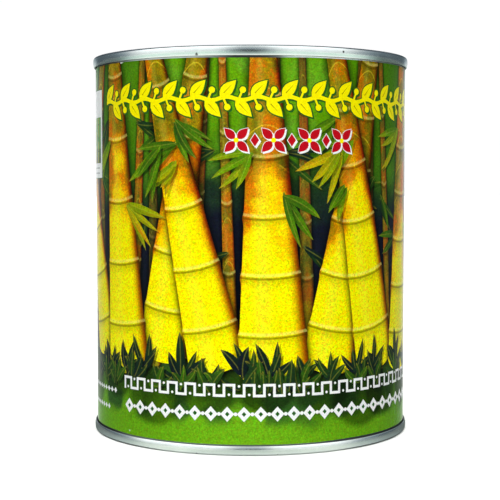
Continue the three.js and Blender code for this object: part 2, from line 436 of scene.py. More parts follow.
def tinplate(name, seams, marks=(), groove=()):
    """Bright tinplate. Sheet faces have the fine one-way lines of rolled steel; seams, where True, are burnished in
    rings.
    Painted shade, nearly black, fills the bands of radius and height in groove."""
    mat, n = material(name)
    p = n.object_mm()
    x, y, z = n.split(p)
    radius, angle, _ = polar(n, p)
    # rolled grain along X, in layers of different width
    grain = n.noise(n.join(n.mul(x, 0.05), n.mul(y, 5.0), n.mul(z, 5.0)), 1.0, 3.0, 0.65)
    fine = n.noise(n.join(n.mul(x, 0.16), n.mul(y, 17.0), n.mul(z, 17.0)), 1.0, 2.0, 0.6)
    lines = n.plus(n.mul(grain, 0.65), n.mul(fine, 0.35))
    if seams:
        # roller burnish: rings that hold their height round the seam
        rings = n.noise(n.join(n.mul(radius, 7.0), n.mul(z, 9.0), n.mul(angle, 0.012)), 1.0, 4.0, 0.7)
        on_seam = n.smooth(radius, 49.0, 49.3)
        lines = n.plus(n.mul(lines, n.minus(1.0, on_seam)), n.mul(rings, on_seam))
    cloud = n.noise(p, 0.09, 4.0, 0.6, 0.4)
    blotch = n.noise(p, 0.9, 3.0, 0.7)
    tone = n.plus(n.mul(cloud, 0.55), n.plus(n.mul(lines, 0.3), n.mul(blotch, 0.15)))
    colour = n.ramp(tone, [(0.30, (0.55, 0.575, 0.585)), (0.5, (0.655, 0.67, 0.675)), (0.68, (0.75, 0.755, 0.75))])
    # handling scuffs: short pale and dark lines across the grain
    scuff_field = n.noise(n.join(n.mul(x, 0.5), n.mul(y, 0.7), n.mul(z, 2.2)), 1.3, 5.0, 0.75, 1.5)
    scuff = n.smooth(scuff_field, 0.63, 0.70)
    colour = n.mix(n.mul(scuff, 0.35), colour, (0.88, 0.88, 0.87))
    # grime: sparse dark specks here and there on the metal
    specks = n.smooth(n.voronoi(p, 0.42), 0.0, 0.055, 1.0, 0.0)
    rare = n.smooth(n.noise(p, 0.16, 1.0), 0.60, 0.66)
    dirt_and_shade = n.mul(specks, rare)
    colour = n.mix(n.mul(dirt_and_shade, 0.8), colour, (0.05, 0.045, 0.04))
    height = n.plus(n.mul(lines, 0.8), n.mul(scuff, 0.25))
    _, _, z = n.split(p)
    wander = n.mul(n.minus(n.noise(p, 0.8, 3.0, 0.6), 0.5), 0.10)
    turn = n.smooth(n.mul(n.math("ARCTAN2", x, n.mul(y, -1.0)), 180 / math.pi), -180.0, 180.0, kind="LINEAR")
    # painted shade: the groove under each seam, and the body wall bared in the gap below it, are painted nearly black,
    # more or less by angle from the front
    for r0, r1, z0, z1, around in groove:
        level = n.plus(z, wander)
        held = n.mul(n.smooth(level, z0 - 0.05, z0 + 0.05), n.smooth(level, z1 - 0.05, z1 + 0.05, 1.0, 0.0))
        held = n.mul(held, n.mul(n.smooth(radius, 49.38, 49.5), n.smooth(radius, r0, r1, 1.0, 0.0)))
        held = n.mul(held, n.ramp(turn, [((at + 180.0) / 360.0, (v, v, v)) for at, v in around]))
        colour = n.mix(n.mul(held, 0.93), colour, (0.018, 0.018, 0.022))
        dirt_and_shade = n.math("MAXIMUM", dirt_and_shade, held)
    if seams:
        # painted reflection: the crown's outer edge is darkened, least at the front and most towards the sides, as its
        # metal would mirror a dark room
        off = n.math("ABSOLUTE", n.mul(n.math("ARCTAN2", x, n.mul(y, -1.0)), 180 / math.pi))
        crown_dark_reflection = n.smooth(n.plus(z, n.smooth(off, 22.0, 56.0, 0.0, 0.22)), H - 0.44, H - 0.24)
        crown_dark_reflection = n.mul(n.mul(crown_dark_reflection, n.smooth(radius, 49.75, 49.95)), n.smooth(off, 5.0, 27.0, 0.30, 1.0))
        colour = n.mix(n.mul(crown_dark_reflection, n.plus(0.85, n.mul(blotch, 0.14))), colour, (0.065, 0.075, 0.105))
    for mx, my, mz, size in marks:
        d = n.vmath("DISTANCE", p, (mx, my, mz))
        warped = n.plus(d, n.mul(n.minus(n.noise(p, 3.1, 2.0), 0.5), size * 0.9))
        dent = n.smooth(warped, size * 0.35, size, 1.0, 0.0)
        colour = n.mix(n.mul(dent, 0.93), colour, (0.035, 0.033, 0.03))
        height = n.minus(height, n.mul(dent, 3.0))
    rough = n.plus(n.mul(lines, 0.10), n.plus(n.mul(cloud, 0.10), 0.09))
    rough = n.plus(rough, n.plus(n.mul(scuff, 0.12), n.mul(dirt_and_shade, 0.4)))
    finish_shader(n, colour, rough, n.bump(height, 0.0045), metallic=1.0)
    return mat


def lacquer(name):
    """The gold food lacquer inside the can, thin enough to show the steel's grain."""
    mat, n = material(name)
    p = n.object_mm()
    x, y, z = n.split(p)
    lines = n.noise(n.join(n.mul(x, 0.06), n.mul(y, 4.0), n.mul(z, 4.0)), 1.0, 3.0, 0.6)
    cloud = n.noise(p, 0.12, 4.0, 0.6, 0.5)
    colour = n.ramp(n.plus(n.mul(lines, 0.35), n.mul(cloud, 0.65)), [(0.32, (0.46, 0.33, 0.13)), (0.5, (0.60, 0.45, 0.20)), (0.7, (0.70, 0.56, 0.29))])
    run = n.smooth(n.noise(n.join(n.mul(x, 0.3), n.mul(y, 0.3), n.mul(z, 0.04)), 1.0, 3.0), 0.55, 0.75)
    colour = n.mix(n.mul(run, 0.3), colour, (0.40, 0.26, 0.09))
    finish_shader(n, colour, n.plus(n.mul(cloud, 0.12), 0.24), n.bump(lines, 0.004), metallic=1.0)
    return mat


def weld_material():
    """The blued, rippled strip of the side seam weld under its powder stripe."""
    mat, n = material("side_seam_weld")
    p = n.object_mm()
    x, y, z = n.split(p)
    ripple = n.math("SINE", n.plus(n.mul(z, 5.6), n.mul(n.noise(p, 0.8, 2.0), 2.5)))
    heat = n.noise(n.join(n.mul(x, 0.9), n.mul(y, 0.9), n.mul(z, 0.12)), 1.0, 4.0, 0.6)
    colour = n.ramp(heat, [(0.3, (0.14, 0.13, 0.15)), (0.5, (0.30, 0.26, 0.21)), (0.7, (0.42, 0.41, 0.40))])
    finish_shader(n, colour, n.plus(n.mul(heat, 0.25), 0.3), n.bump(ripple, 0.02), metallic=1.0)
    return mat


def compound_material():
    """Dried lining compound: a matt grey-green rubber with fine pinholes."""
    mat, n = material("lining_compound")
    p = n.object_mm()
    soft = n.noise(p, 0.6, 4.0, 0.6)
    pins = n.smooth(n.voronoi(p, 3.4), 0.0, 0.16, 0.0, 1.0)
    colour = n.ramp(soft, [(0.3, (0.20, 0.20, 0.175)), (0.7, (0.34, 0.335, 0.30))])
    colour = n.mix(n.mul(n.minus(1.0, pins), 0.7), colour, (0.10, 0.10, 0.09))
    finish_shader(n, colour, n.plus(n.mul(soft, 0.2), 0.62), n.bump(n.plus(pins, soft), 0.01), specular=0.3)
    return mat


SEAM_TOP, SEAM_LOW = 3.02, 2.77  # length of each seam along the can
# Small scars on the wall of each seam: (x, y, z, size) in mm.
TOP_MARKS = [(-15.5, -48.2, 116.4, 0.60), (27.2, -42.7, 117.6, 0.46), (-3.2, -50.5, 117.9, 0.20)]
LOW_MARKS = [(-15.8, -48.1, 0.16, 0.42), (34.9, -36.6, 0.20, 0.42), (8.0, -50.0, 0.35, 0.20)]
# How dark the painted shade in each seam's groove is, by angle from the front in degrees.
TOP_GROOVE_SHADE = [(-180, 0.7), (-140, 0.4), (-110, 0.65), (-80, 0.8), (-58, 1.0), (-50, 0.7), (-44, 0.30), (-20, 0.25), (-13, 0.6), (-6, 1.0), (5, 1.0), (9, 0.8),
            (13, 0.25), (18, 0.10), (42, 0.10), (58, 0.5), (90, 0.75), (125, 0.35), (150, 0.6), (180, 0.7)]
LOW_GROOVE_SHADE = [(-180, 0.6), (-150, 0.8), (-110, 0.5), (-80, 1.0), (-58, 1.0), (-48, 0.72), (-10, 0.70), (20, 0.76), (30, 0.95), (45, 1.0),
            (85, 0.9), (120, 0.5), (150, 0.75), (180, 0.6)]

TIN_TOP = tinplate("tinplate_top_end", True, TOP_MARKS, [(50.32, 50.44, H - SEAM_TOP - 0.5, H - SEAM_TOP + 0.18, TOP_GROOVE_SHADE)])
TIN_LOW = tinplate("tinplate_bottom_end", True, LOW_MARKS, [(50.32, 50.44, SEAM_LOW - 0.16, SEAM_LOW + 0.5, LOW_GROOVE_SHADE)])
TIN_BODY = tinplate("tinplate_body", False, (), [(50.0, 50.1, 2.4, 3.9, LOW_GROOVE_SHADE), (50.0, 50.1, H - 4.2, H - 2.4, TOP_GROOVE_SHADE)])
GOLD = lacquer("gold_lacquer")
WELD = weld_material()
COMPOUND = compound_material()


# ============================================================================
# The ends, the body and the compound rings
# ============================================================================
SEAM_MIDDLE = 1.36  # where its rolled outer wall stands furthest out
BARREL, BARREL_LOW = 5.2, 4.0  # radius of the wall's roundness towards the groove: top seam, bottom seam


def end_line(seam, barrel):
    """The middle of the end's plate, from its hook round the seam to the middle of the panel."""
    wall = 50.59
    reach = [SEAM_MIDDLE - 0.62 + (seam - 0.93) * i / 12 for i in range(13)]
    outside = [(wall - (d - SEAM_MIDDLE) ** 2 / (2 * (barrel if d > SEAM_MIDDLE else BARREL)), H - d) for d in reach][::-1]
    start_r = outside[0][0]
    low = reach[-1]
    # the curl under the wall starts with the wall's own slope
    slope = math.degrees((low - SEAM_MIDDLE) / barrel)
    curl_r = (start_r - 49.95) / (1 + math.cos(slope * DEG))
    centre = (49.95 + curl_r, H - low + curl_r * math.sin(slope * DEG))
    curl = arc(*centre, curl_r, 180, 360 - slope, 14)[:-1]
    hook = [(49.93, H - 0.98), (49.94, centre[1] + 0.12)]
    crown = [(50.0 + 0.553 * math.cos(t * DEG), H - 0.74 + 0.63 * math.sin(t * DEG)) for t in (9, 18, 27, 36, 45, 54, 63, 72, 81, 90)]
    crown += [(49.80, H - 0.11), (49.64, H - 0.165), (49.50, H - 0.30), (49.41, H - 0.50), (49.345, H - 0.82)]
    panel = [
        (49.22, H - 3.6), (48.86, H - 4.42), (48.3, H - 4.55), (46.0, H - 4.55), (44.9, H - 3.4), (43.3, H - 3.4),
        (42.2, H - 4.4), (38.4, H - 4.4), (37.4, H - 3.8), (31.2, H - 3.8), (30.2, H - 3.3), (0.0, H - 3.3),
    ]
    return hook + curl + outside + crown + rounded([crown[-1]] + panel, 0.55, 5)[1:]


def end_section(seam, barrel):
    line = end_line(seam, barrel)
    clean = [line[0]]
    for p in line[1:]:
        if math.dist(p, clean[-1]) > 0.02:
            clean.append(p)
    left, right = plate_faces(clean, 0.22)
    # the long flat middle gets rings of its own, so that no face runs from the bead to the axis
    left[-1][0] = right[-1][0] = 0.0
    def with_rings(face):
        extra = [(r, face[-1][1]) for r in (26.0, 20.0, 14.0, 8.0, 3.0)]
        return [tuple(p) for p in face[:-1]] + extra + [tuple(face[-1])]
    left, right = with_rings(left), with_rings(right)
    return left[::-1] + right, len(left)


def make_end(name, node, bottom, tin):
    section, split = end_section(*((SEAM_LOW, BARREL_LOW) if bottom else (SEAM_TOP, BARREL)))
    # the outside is the half whose middle point stands higher on the top end
    outside_first = section[0][1] > section[-1][1]
    if bottom:
        section = mirrored(section)

    def slots(who, poly):
        i, j = who
        first = max(i, j) < split
        return 0 if first == outside_first else 1
    mesh = lathe(name, section, False, 256, slots)
    mesh.materials.append(tin)
    mesh.materials.append(GOLD)
    return add_object(name, mesh, "tinplate_end", node)


def make_body():
    bend = 0.33
    top = [(50.24, H - 2.36), (50.26, H - 1.6)] + arc(49.93, H - 0.9, bend, 0, 180, 10)
    straight = [(49.6, H * t / 12) for t in range(11, 0, -1)]
    low = mirrored(top[::-1])
    left, right = plate_faces(top + straight + low, 0.2)
    section = [tuple(p) for p in left[::-1]] + [tuple(p) for p in right]
    split = len(left)
    def slots(who, poly):
        c = poly.center
        r = math.hypot(c.x, c.y) / MM
        a = math.degrees(math.atan2(c.y, c.x))
        if abs(a - 54.0) < 0.8 and 4.0 < c.z / MM < H - 4.0:
            return 2
        return 1 if r < 49.6 else 0
    mesh = lathe("body_shell", section, True, 288, slots)
    # the lap of the side seam: the wall inside stands proud by up to the weld's height
    for v in mesh.vertices:
        r = math.hypot(v.co.x, v.co.y) / MM
        a = math.degrees(math.atan2(v.co.y, v.co.x))
        if r < 49.55 and abs(a - 54.0) < 1.0 and 5.0 < v.co.z / MM < H - 5.0:
            k = (r - 0.1) / r
            v.co.x *= k
            v.co.y *= k
    for m in (TIN_BODY, GOLD, WELD):
        mesh.materials.append(m)
    return add_object("body_shell", mesh, "tinplate_body", "can_body")


def make_compound(name, node, bottom):
    outer = rounded([(50.36, H - 0.5), (50.3, H - 0.4), (50.09, H - 0.285), (49.83, H - 0.285), (49.62, H - 0.4), (49.56, H - 0.5)], 0.12, 3)
    section = outer + arc(49.93, H - 0.9, 0.5, 130, 50, 10)
    if bottom:
        section = mirrored(section)
    mesh = lathe(name, section, True, 256, smooth_deg=50)
    mesh.materials.append(COMPOUND)
    return add_object(name, mesh, "seam_compound", node)


make_end("top_end_plate", "top_end", False, TIN_TOP)
make_end("bottom_end_plate", "bottom_end", True, TIN_LOW)
make_body()
make_compound("top_compound_ring", "top_seam_compound", False)
make_compound("bottom_compound_ring", "bottom_seam_compound", True)

# ============================================================================
# The label's printed design, drawn in (u, v) millimetres on the unrolled paper.
# u = 0 is the middle of the front, v is the height on the can.
# ============================================================================
PRINT_R = 49.85
WRAP = 2 * math.pi * PRINT_R
U0 = -WRAP / 2
U1 = WRAP / 2 + PRINT_R * 9 * DEG
V0, V1 = 3.36, 115.32
GROUND, CANE, LEAF, INK, PAPER = range(5)

rng = random.Random(20611)


def clip(poly, axis, limit, keep_less):
    out = []
    for a, b in zip(poly, poly[1:] + poly[:1]):
        ina = a[axis] <= limit if keep_less else a[axis] >= limit
        inb = b[axis] <= limit if keep_less else b[axis] >= limit
        if ina:
            out.append(a)
        if ina != inb:
            t = (limit - a[axis]) / (b[axis] - a[axis])
            q = [a[0] + (b[0] - a[0]) * t, a[1] + (b[1] - a[1]) * t]
            q[axis] = limit
            out.append(tuple(q))
    return out


class Shape:
    """One painted area. kind is its material, or None for a shadow, which darkens what lies under it."""

    def __init__(self, poly, kind, local=None, b=(0, 0, 0), c=(0, 0, 0), dark=None, guides=()):
        self.poly, self.kind, self.local, self.b, self.c = poly, kind, local, b, c
        self.dark, self.guides = dark, guides


shapes = []


def put(shape):
    """Adds the shape wherever it shows on the paper, also past the lap."""
    for shift in (-WRAP, 0.0, WRAP):
        poly = [(u + shift, v) for u, v in shape.poly]
        for axis, limit, less in ((0, U0, False), (0, U1, True), (1, V0, False), (1, V1, True)):
            poly = clip(poly, axis, limit, less)
            if len(poly) < 3:
                break
        if len(poly) < 3:
            continue
        copy = Shape(poly, shape.kind, None, shape.b, shape.c)
        if shape.local:
            copy.local = lambda u, v, f=shape.local, s=shift: f(u - s, v)
        if shape.dark:
            copy.dark = lambda u, v, f=shape.dark, s=shift: f(u - s, v)
        for guide in shape.guides:
            line = [(u + shift, v) for u, v in guide]
            line = [q for q in line if U0 < q[0] < U1 and V0 < q[1] < V1]
            copy.guides = (*copy.guides, line)
        shapes.append(copy)


def frame_of(base, lean):
    """Functions to and from (along, across) of an axis that starts at base and leans that many degrees to the right of up."""
    s, c = math.sin(lean * DEG), math.cos(lean * DEG)

    def to(u, v):
        du, dv = u - base[0], v - base[1]
        return du * s + dv * c, du * c - dv * s

    def back(along, across):
        return base[0] + along * s + across * c, base[1] + along * c - across * s

    return to, back


def cane(base, lean, length, w0, w1, pitch, offset, tone, shadow=3.4):
    to, back = frame_of(base, lean)
    slope = (w1 - w0) / length

    def half(s):
        w = w0 + slope * s
        near = abs((s - offset + pitch / 2) % pitch - pitch / 2)
        return w * (1 + 0.055 * math.exp(-((near / 1.5) ** 2)))

    # straight between its nodes, so that it needs few points there
    stations = set(np.linspace(0, length, 7))
    k = math.ceil(-offset / pitch)
    while offset + k * pitch < length:
        for d in (-2.8, -1.5, -0.75, 0.0, 0.75, 1.5, 2.8) if w0 > 4 else (-1.5, 0.0, 1.5):
            s = offset + k * pitch + d
            if 0 < s < length:
                stations.add(s)
        k += 1
    stations = sorted(stations)
    foot = [back(-w0 * 0.5 * math.sin(a * DEG), half(0) * math.cos(a * DEG)) for a in range(12, 180, 12)]
    left = [back(s, -half(s)) for s in stations]
    right = [back(s, half(s)) for s in stations[::-1]]
    if shadow:
        rim_ = [back(-w0 * 0.5 * math.sin(a * DEG), half(0) * math.cos(a * DEG)) for a in range(0, 181, 12)]
        out_ = [back(-(w0 * 0.5 + shadow) * math.sin(a * DEG), (half(0) + shadow) * math.cos(a * DEG)) for a in range(0, 181, 12)]

        def under(u, v):
            s, d = to(u, v)
            q = np.sqrt((s / (w0 * 0.5 + shadow)) ** 2 + (d / (half(0) + shadow)) ** 2)
            return 0.85 * np.clip((1 - q) * 3.2, 0, 1) ** 1.3

        put(Shape(rim_ + out_[::-1], None, dark=under))
    if shadow:
        for side in (-1, 1):
            few = np.linspace(0, length, 4)
            inner = [back(s, side * (w0 + slope * s) * 0.97) for s in few]
            mid = [back(s, side * (w0 + slope * s + shadow * 0.45)) for s in few]
            outer = [back(s, side * (w0 + slope * s + shadow)) for s in few]
            poly = inner + outer[::-1]

            def dark(u, v, side=side):
                s, d = to(u, v)
                w = w0 + slope * s
                t = np.clip((side * d - w) / shadow, 0, 1)
                return 0.88 * (1 - t) ** 1.6

            put(Shape(poly, None, dark=dark, guides=(mid,)))
    seed = rng.random() * 90
    put(Shape(left + right + foot, CANE, lambda u, v: to(u, v), (w0, slope, pitch), (offset, seed, tone)))


def leaf(base, lean, length, width, bend, tone, shadow=0.45, drop=(0.8, -0.7)):
    to, back = frame_of(base, lean)

    def mid(s):
        x = s / length
        return bend * 4 * x * (1 - x) * 0.5 + bend * x * x * 0.5

    steps = 8 if length > 12 else 6
    ss = [length * (i / steps) ** 1.15 for i in range(steps + 1)]

    def half(s):
        x = s / length
        return width * (x ** 0.62) * ((1 - x) ** 0.88) * 1.85

    left = [back(s, mid(s) - half(s)) for s in ss]
    right = [back(s, mid(s) + half(s)) for s in ss[-2:0:-1]]
    poly = left + right
    if shadow:
        cast = left[::2] + right[1::2] if steps % 2 == 0 else poly
        put(Shape([(u + drop[0], v + drop[1]) for u, v in cast], None, dark=lambda u, v: np.full(np.shape(u), shadow)))

    def local(u, v):
        s, d = to(u, v)
        x = s / length
        return x, d - (bend * 4 * x * (1 - x) * 0.5 + bend * x * x * 0.5)

    put(Shape(poly, LEAF, local, (width, length, rng.random() * 90), (tone, 0.0, 0.0)))


def ink(poly, colour):
    put(Shape(poly, INK, None, c=colour))


def box_poly(u0, v0, u1, v1):
    return [(u0, v0), (u1, v0), (u1, v1), (u0, v1)]


def disc(u, v, r, n=12, squash=1.0):
    return [(u + r * math.cos(2 * math.pi * i / n), v + r * squash * math.sin(2 * math.pi * i / n)) for i in range(n)]


def petal(base, lean, length, width, steps=6, grow=0.0):
    _, back = frame_of(base, lean)
    ss = [length * i / steps for i in range(steps + 1)]

    def half(s):
        x = s / length
        return width * math.sin(math.pi * x ** 0.8) + grow

    start, stop = -grow * 1.4, length + grow * 1.4
    line = [back(start, 0)] + [back(s, -half(s)) for s in ss] + [back(stop, 0)] + [back(s, half(s)) for s in ss[::-1]]
    if grow == 0:
        line = [back(s, -half(s)) for s in ss] + [back(s, half(s)) for s in ss[-2:0:-1]]
    return line


YELLOW = (1.0, 0.88, 0.0)
DEEP_GREEN = (0.018, 0.11, 0.012)
WHITE = (0.92, 0.93, 0.93)
RED = (0.52, 0.004, 0.012)

# ---- the grove -------------------------------------------------------------
def spray(u, v, lean, count, length, tone, spread=58, width=2.0):
    """A fan of leaves from one twig, hanging to one side."""
    order = list(range(count))
    rng.shuffle(order)
    for i in order:
        a = lean + spread * ((i + 0.5) / count - 0.5) + rng.uniform(-5, 5)
        ln = length * rng.uniform(0.72, 1.08)
        leaf((u + rng.uniform(-0.7, 0.7), v + rng.uniform(-0.7, 0.7)), a, ln, width * rng.uniform(0.8, 1.15),
             rng.uniform(-2.4, 2.4), min(1.0, max(0.0, tone + rng.uniform(-0.13, 0.13))))


def grove():
    # far stems: thin, dark, in the gaps
    n = 26
    for i in range(n):
        u = -WRAP / 2 + WRAP * (i + rng.uniform(0.2, 0.8)) / n
        cane((u, rng.uniform(24, 34)), rng.uniform(-9, 9), 98, rng.uniform(1.8, 2.9),
             rng.uniform(0.7, 1.1), rng.uniform(15, 21), rng.uniform(4, 12), rng.uniform(-0.44, -0.27), shadow=1.2)
    # dark leaves behind the near canes
    for i in range(44):
        u = -WRAP / 2 + WRAP * (i + rng.random()) / 44
        spray(u, rng.uniform(58, 100), rng.choice((-1, 1)) * rng.uniform(100, 150), rng.choice((2, 3)), rng.uniform(11, 17),
              rng.uniform(0.20, 0.42), width=1.7)
    # near canes in clumps that open upwards like fans
    near = []
    for centre, leans in CLUMPS:
        for off, lean, w0 in leans:
            near.append((centre + off, lean, w0))
    for i in sorted(range(len(near)), key=lambda i: (near[i][2], i)):
        u, lean, w0 = near[i]
        v = 28 + (9.4 - w0) * 2.2 + rng.uniform(-1.0, 1.6)
        length = (V1 + 6 - v) / math.cos(lean * DEG)
        pitch = rng.uniform(14.0, 19.0)
        cane((u, v), lean, length, w0, w0 * rng.uniform(0.30, 0.38), pitch, rng.uniform(6, 13), rng.uniform(-0.04, 0.10), shadow=2.6)
    # sprays that hang from the canes
    for u, lean, w0 in near:
        for _ in range(2):
            h = rng.uniform(66, 106)
            side = rng.choice((-1, 1))
            at = u + math.tan(lean * DEG) * (h - 27) + side * w0 * 0.4
            spray(at, h, side * rng.uniform(105, 150), rng.choice((3, 4)), rng.uniform(12, 18), rng.uniform(0.50, 0.84), width=1.9)


CLUMPS = [
    (-45.0, [(-11, -15, 8.2), (2.5, -4, 9.8), (17.5, 8, 8.6)]),
    (4.0, [(-14, -13, 8.8), (3, -2, 10.6), (20.5, 10, 9.2)]),
    (57.0, [(-13.5, -11, 9.4), (4, 1, 10.2), (20.5, 12, 8.6)]),
    (104.0, [(-12, -10, 8.8), (4, 3, 9.6), (19, 13, 8.4)]),
    (150.0, [(-11, -13, 8.8), (5, -1, 10.2), (21, 9, 9.0)]),
    (-107.0, [(-19, -13, 8.6), (-2, -2, 9.8), (15, 5, 8.8), (29, 13, 7.8)]),
]


def lobes():
    # big soft-edged bushes behind the lettering's place, out of focus
    n = 19
    for i in range(n):
        u = -WRAP / 2 + WRAP * (i + rng.uniform(0.15, 0.85)) / n
        v = rng.uniform(15, 21)
        r = rng.uniform(8.5, 12.5)
        depth = rng.uniform(0.50, 0.66)
        ring_ = [(u + r * math.cos(a * DEG), v + 0.8 * r * math.sin(a * DEG)) for a in range(0, 360, 15)]
        inner = [(u + 0.8 * r * math.cos(a * DEG), v + 0.64 * r * math.sin(a * DEG)) for a in range(0, 361, 24)]

        def dark(x, y, u=u, v=v, r=r, depth=depth):
            q = np.sqrt((x - u) ** 2 + ((y - v) / 0.8) ** 2) / r
            return depth * np.clip((1 - q) / 0.2, 0, 1)

        put(Shape(ring_, None, dark=dark, guides=(inner,)))


def undergrowth():
    # clumps of pointed leaves in front of the canes' feet
    n = 24
    for row, (v0, tone, length, width) in enumerate(((22.0, 0.06, 13, 2.1), (20.0, 0.16, 11, 2.0), (18.8, 0.30, 9, 1.8))):
        for i in range(n):
            if rng.random() < 0.22:
                continue
            u = -WRAP / 2 + WRAP * (i + 0.5 * (row % 2) + rng.uniform(0.1, 0.9)) / n
            count = rng.choice((3, 4, 5))
            for j in range(count):
                a = -62 + 124 * (j + 0.5) / count + rng.uniform(-8, 8)
                leaf((u + rng.uniform(-1, 1), v0 + rng.uniform(-1.5, 1.5)), a, length * rng.uniform(0.65, 1.05) * (1 - 0.25 * abs(a) / 58),
                     width * rng.uniform(0.75, 1.1), rng.uniform(-3, 3), max(0.0, tone + rng.uniform(-0.06, 0.12)), shadow=0.5)
    # a low tuft in front of the middle cane's foot
    held = rng.getstate()
    for u, v, lean, length, width, bend, tone in (
        (8.4, 18.6, -48, 7.6, 1.7, 1.2, 0.20), (8.8, 18.2, 34, 7.2, 1.7, -1.0, 0.30), (11.8, 18.3, -20, 8.2, 1.8, -1.4, 0.24),
        (12.2, 18.0, 46, 7.4, 1.6, 1.0, 0.34), (5.6, 18.4, 12, 7.0, 1.6, 1.4, 0.33), (10.2, 17.6, 2, 6.6, 1.7, 0.8, 0.38),
        (12.5, 18.4, 6, 8.2, 1.7, 0.8, 0.22), (14.5, 18.0, -8, 8.8, 1.6, -0.8, 0.30), (4.9, 17.6, 2, 7.4, 1.5, 0.6, 0.30),
        (9.5, 17.4, -4, 7.2, 1.5, -0.6, 0.27), (11.3, 18.6, 4, 9.6, 1.9, 0.5, 0.18), (4.1, 17.9, -4, 6.9, 1.5, 0.0, 0.28),
        (0.5, 17.6, 4, 7.2, 1.6, 0.6, 0.26),
    ):
        leaf((u, v), lean, length, width, bend, tone, shadow=0.5)
    rng.setstate(held)


lobes()
grove()
undergrowth()


# ---- the ornament band in place of a title ----------------------------------
def garland(u0, u1, v_low, v_high):
    """A running stem with pointed leaves in turn above and below, and a berry before each."""
    mid = (v_low + v_high) / 2
    reach = (v_high - v_low) / 2
    count = round((u1 - u0) / 9.0)
    unit = (u1 - u0) / count

    def wave(u):
        return mid + 0.5 * math.sin(2 * math.pi * (u - u0) / unit)

    stem = [u0 + (u1 - u0) * i / (count * 8) for i in range(count * 8 + 1)]
    leaves, berries = [], []
    for i in range(count):
        u = u0 + i * unit
        for side, start in ((1, 0.02), (-1, 0.52)):
            b = u + start * unit
            lean = 44 if side > 0 else 136
            leaves.append(((b, wave(b) + side * 0.3), lean, reach * 1.44, 1.75))
            berries.append((b + unit * 0.74, mid + side * reach * 0.52, 0.95, (b + unit * 0.60, wave(b + unit * 0.60))))
    for grow, colour, dx, dy in ((0.34, DEEP_GREEN, 0.0, 0.0), (0.16, DEEP_GREEN, 0.42, -0.42), (0.0, YELLOW, 0.0, 0.0)):
        t = 0.60 + grow
        line = [(u + dx, wave(u) + t + dy) for u in stem] + [(u + dx, wave(u) - t + dy) for u in stem[::-1]]
        ink(line, colour)
        for base, lean, length, width in leaves:
            ink(petal((base[0] + dx, base[1] + dy), lean, length, width, grow=grow), colour)
        for u, v, r, (su, sv) in berries:
            w = 0.34 + grow
            ink([(su - w + dx, sv + dy), (su + w + dx, sv + dy), (u + w + dx, v + dy), (u - w + dx, v + dy)], colour)
            ink(disc(u + dx, v + dy, r + grow), colour)
    for base, lean, length, width in leaves:
        _, back = frame_of(base, lean)
        ink([back(length * 0.24, -0.16), back(length * 0.82, 0.0), back(length * 0.24, 0.16)], (0.42, 0.36, 0.0))


def blossoms(u0, count, pitch, v_low, v_high):
    mid, size = (v_low + v_high) / 2, (v_high - v_low) / 2
    for grow, colour, du, dv in ((0.16, WHITE, 0.0, 0.0), (0.1, WHITE, 0.42, -0.42), (0.0, RED, 0.0, 0.0)):
        for i in range(count):
            u = u0 + pitch * (i + 0.5)
            for k in range(4):
                a = 45 + 90 * k
                ink(petal((u + 0.5 * math.sin(a * DEG) + du, mid + 0.5 * math.cos(a * DEG) + dv), a, size * 1.12, 1.25, grow=grow), colour)
            if i < count - 1:
                m = u + pitch / 2
                r = 1.25 + grow * 1.3
                ink([(m - r + du, mid + dv), (m + du, mid - r * 1.5 + dv), (m + r + du, mid + dv), (m + du, mid + r * 1.5 + dv)], colour)
    for i in range(count):
        ink(disc(u0 + pitch * (i + 0.5), mid, 0.75, 10), YELLOW)


def chain(u0, u1, v_low, v_high, pitch):
    """A row of white lozenges joined by dots."""
    mid, r = (v_low + v_high) / 2, (v_high - v_low) / 2
    count = int((u1 - u0) / pitch)
    for i in range(count):
        u = u0 + (i + 0.5) * pitch
        ink([(u - r * 0.94, mid), (u, mid - r), (u + r * 0.94, mid), (u, mid + r)], WHITE)
        if r > 1.2:
            ink([(u - r * 0.30, mid), (u, mid - r * 0.33), (u + r * 0.30, mid), (u, mid + r * 0.33)], DEEP_GREEN)
        if i < count - 1:
            ink(disc(u + pitch / 2, mid, r * 0.26, 8), WHITE)


def battlement(u0, u1, v_low, v_high, pitch, t=1.0):
    """A white square wave with a dot in each bay."""
    count = int((u1 - u0) / pitch)
    half = pitch / 2
    for i in range(count):
        u = u0 + i * pitch
        ink(box_poly(u, v_low, u + t, v_high), WHITE)
        ink(box_poly(u + t, v_high - t, u + half, v_high), WHITE)
        ink(box_poly(u + half, v_low, u + half + t, v_high), WHITE)
        if i < count - 1:
            ink(box_poly(u + half + t, v_low, u + pitch, v_low + t), WHITE)
        ink(disc(u + (half + t) / 2, v_low + t * 0.9, t * 0.52, 8), WHITE)
        if i < count - 1:
            ink(disc(u + half + (half + t) / 2, v_high - t * 0.9, t * 0.52, 8), WHITE)


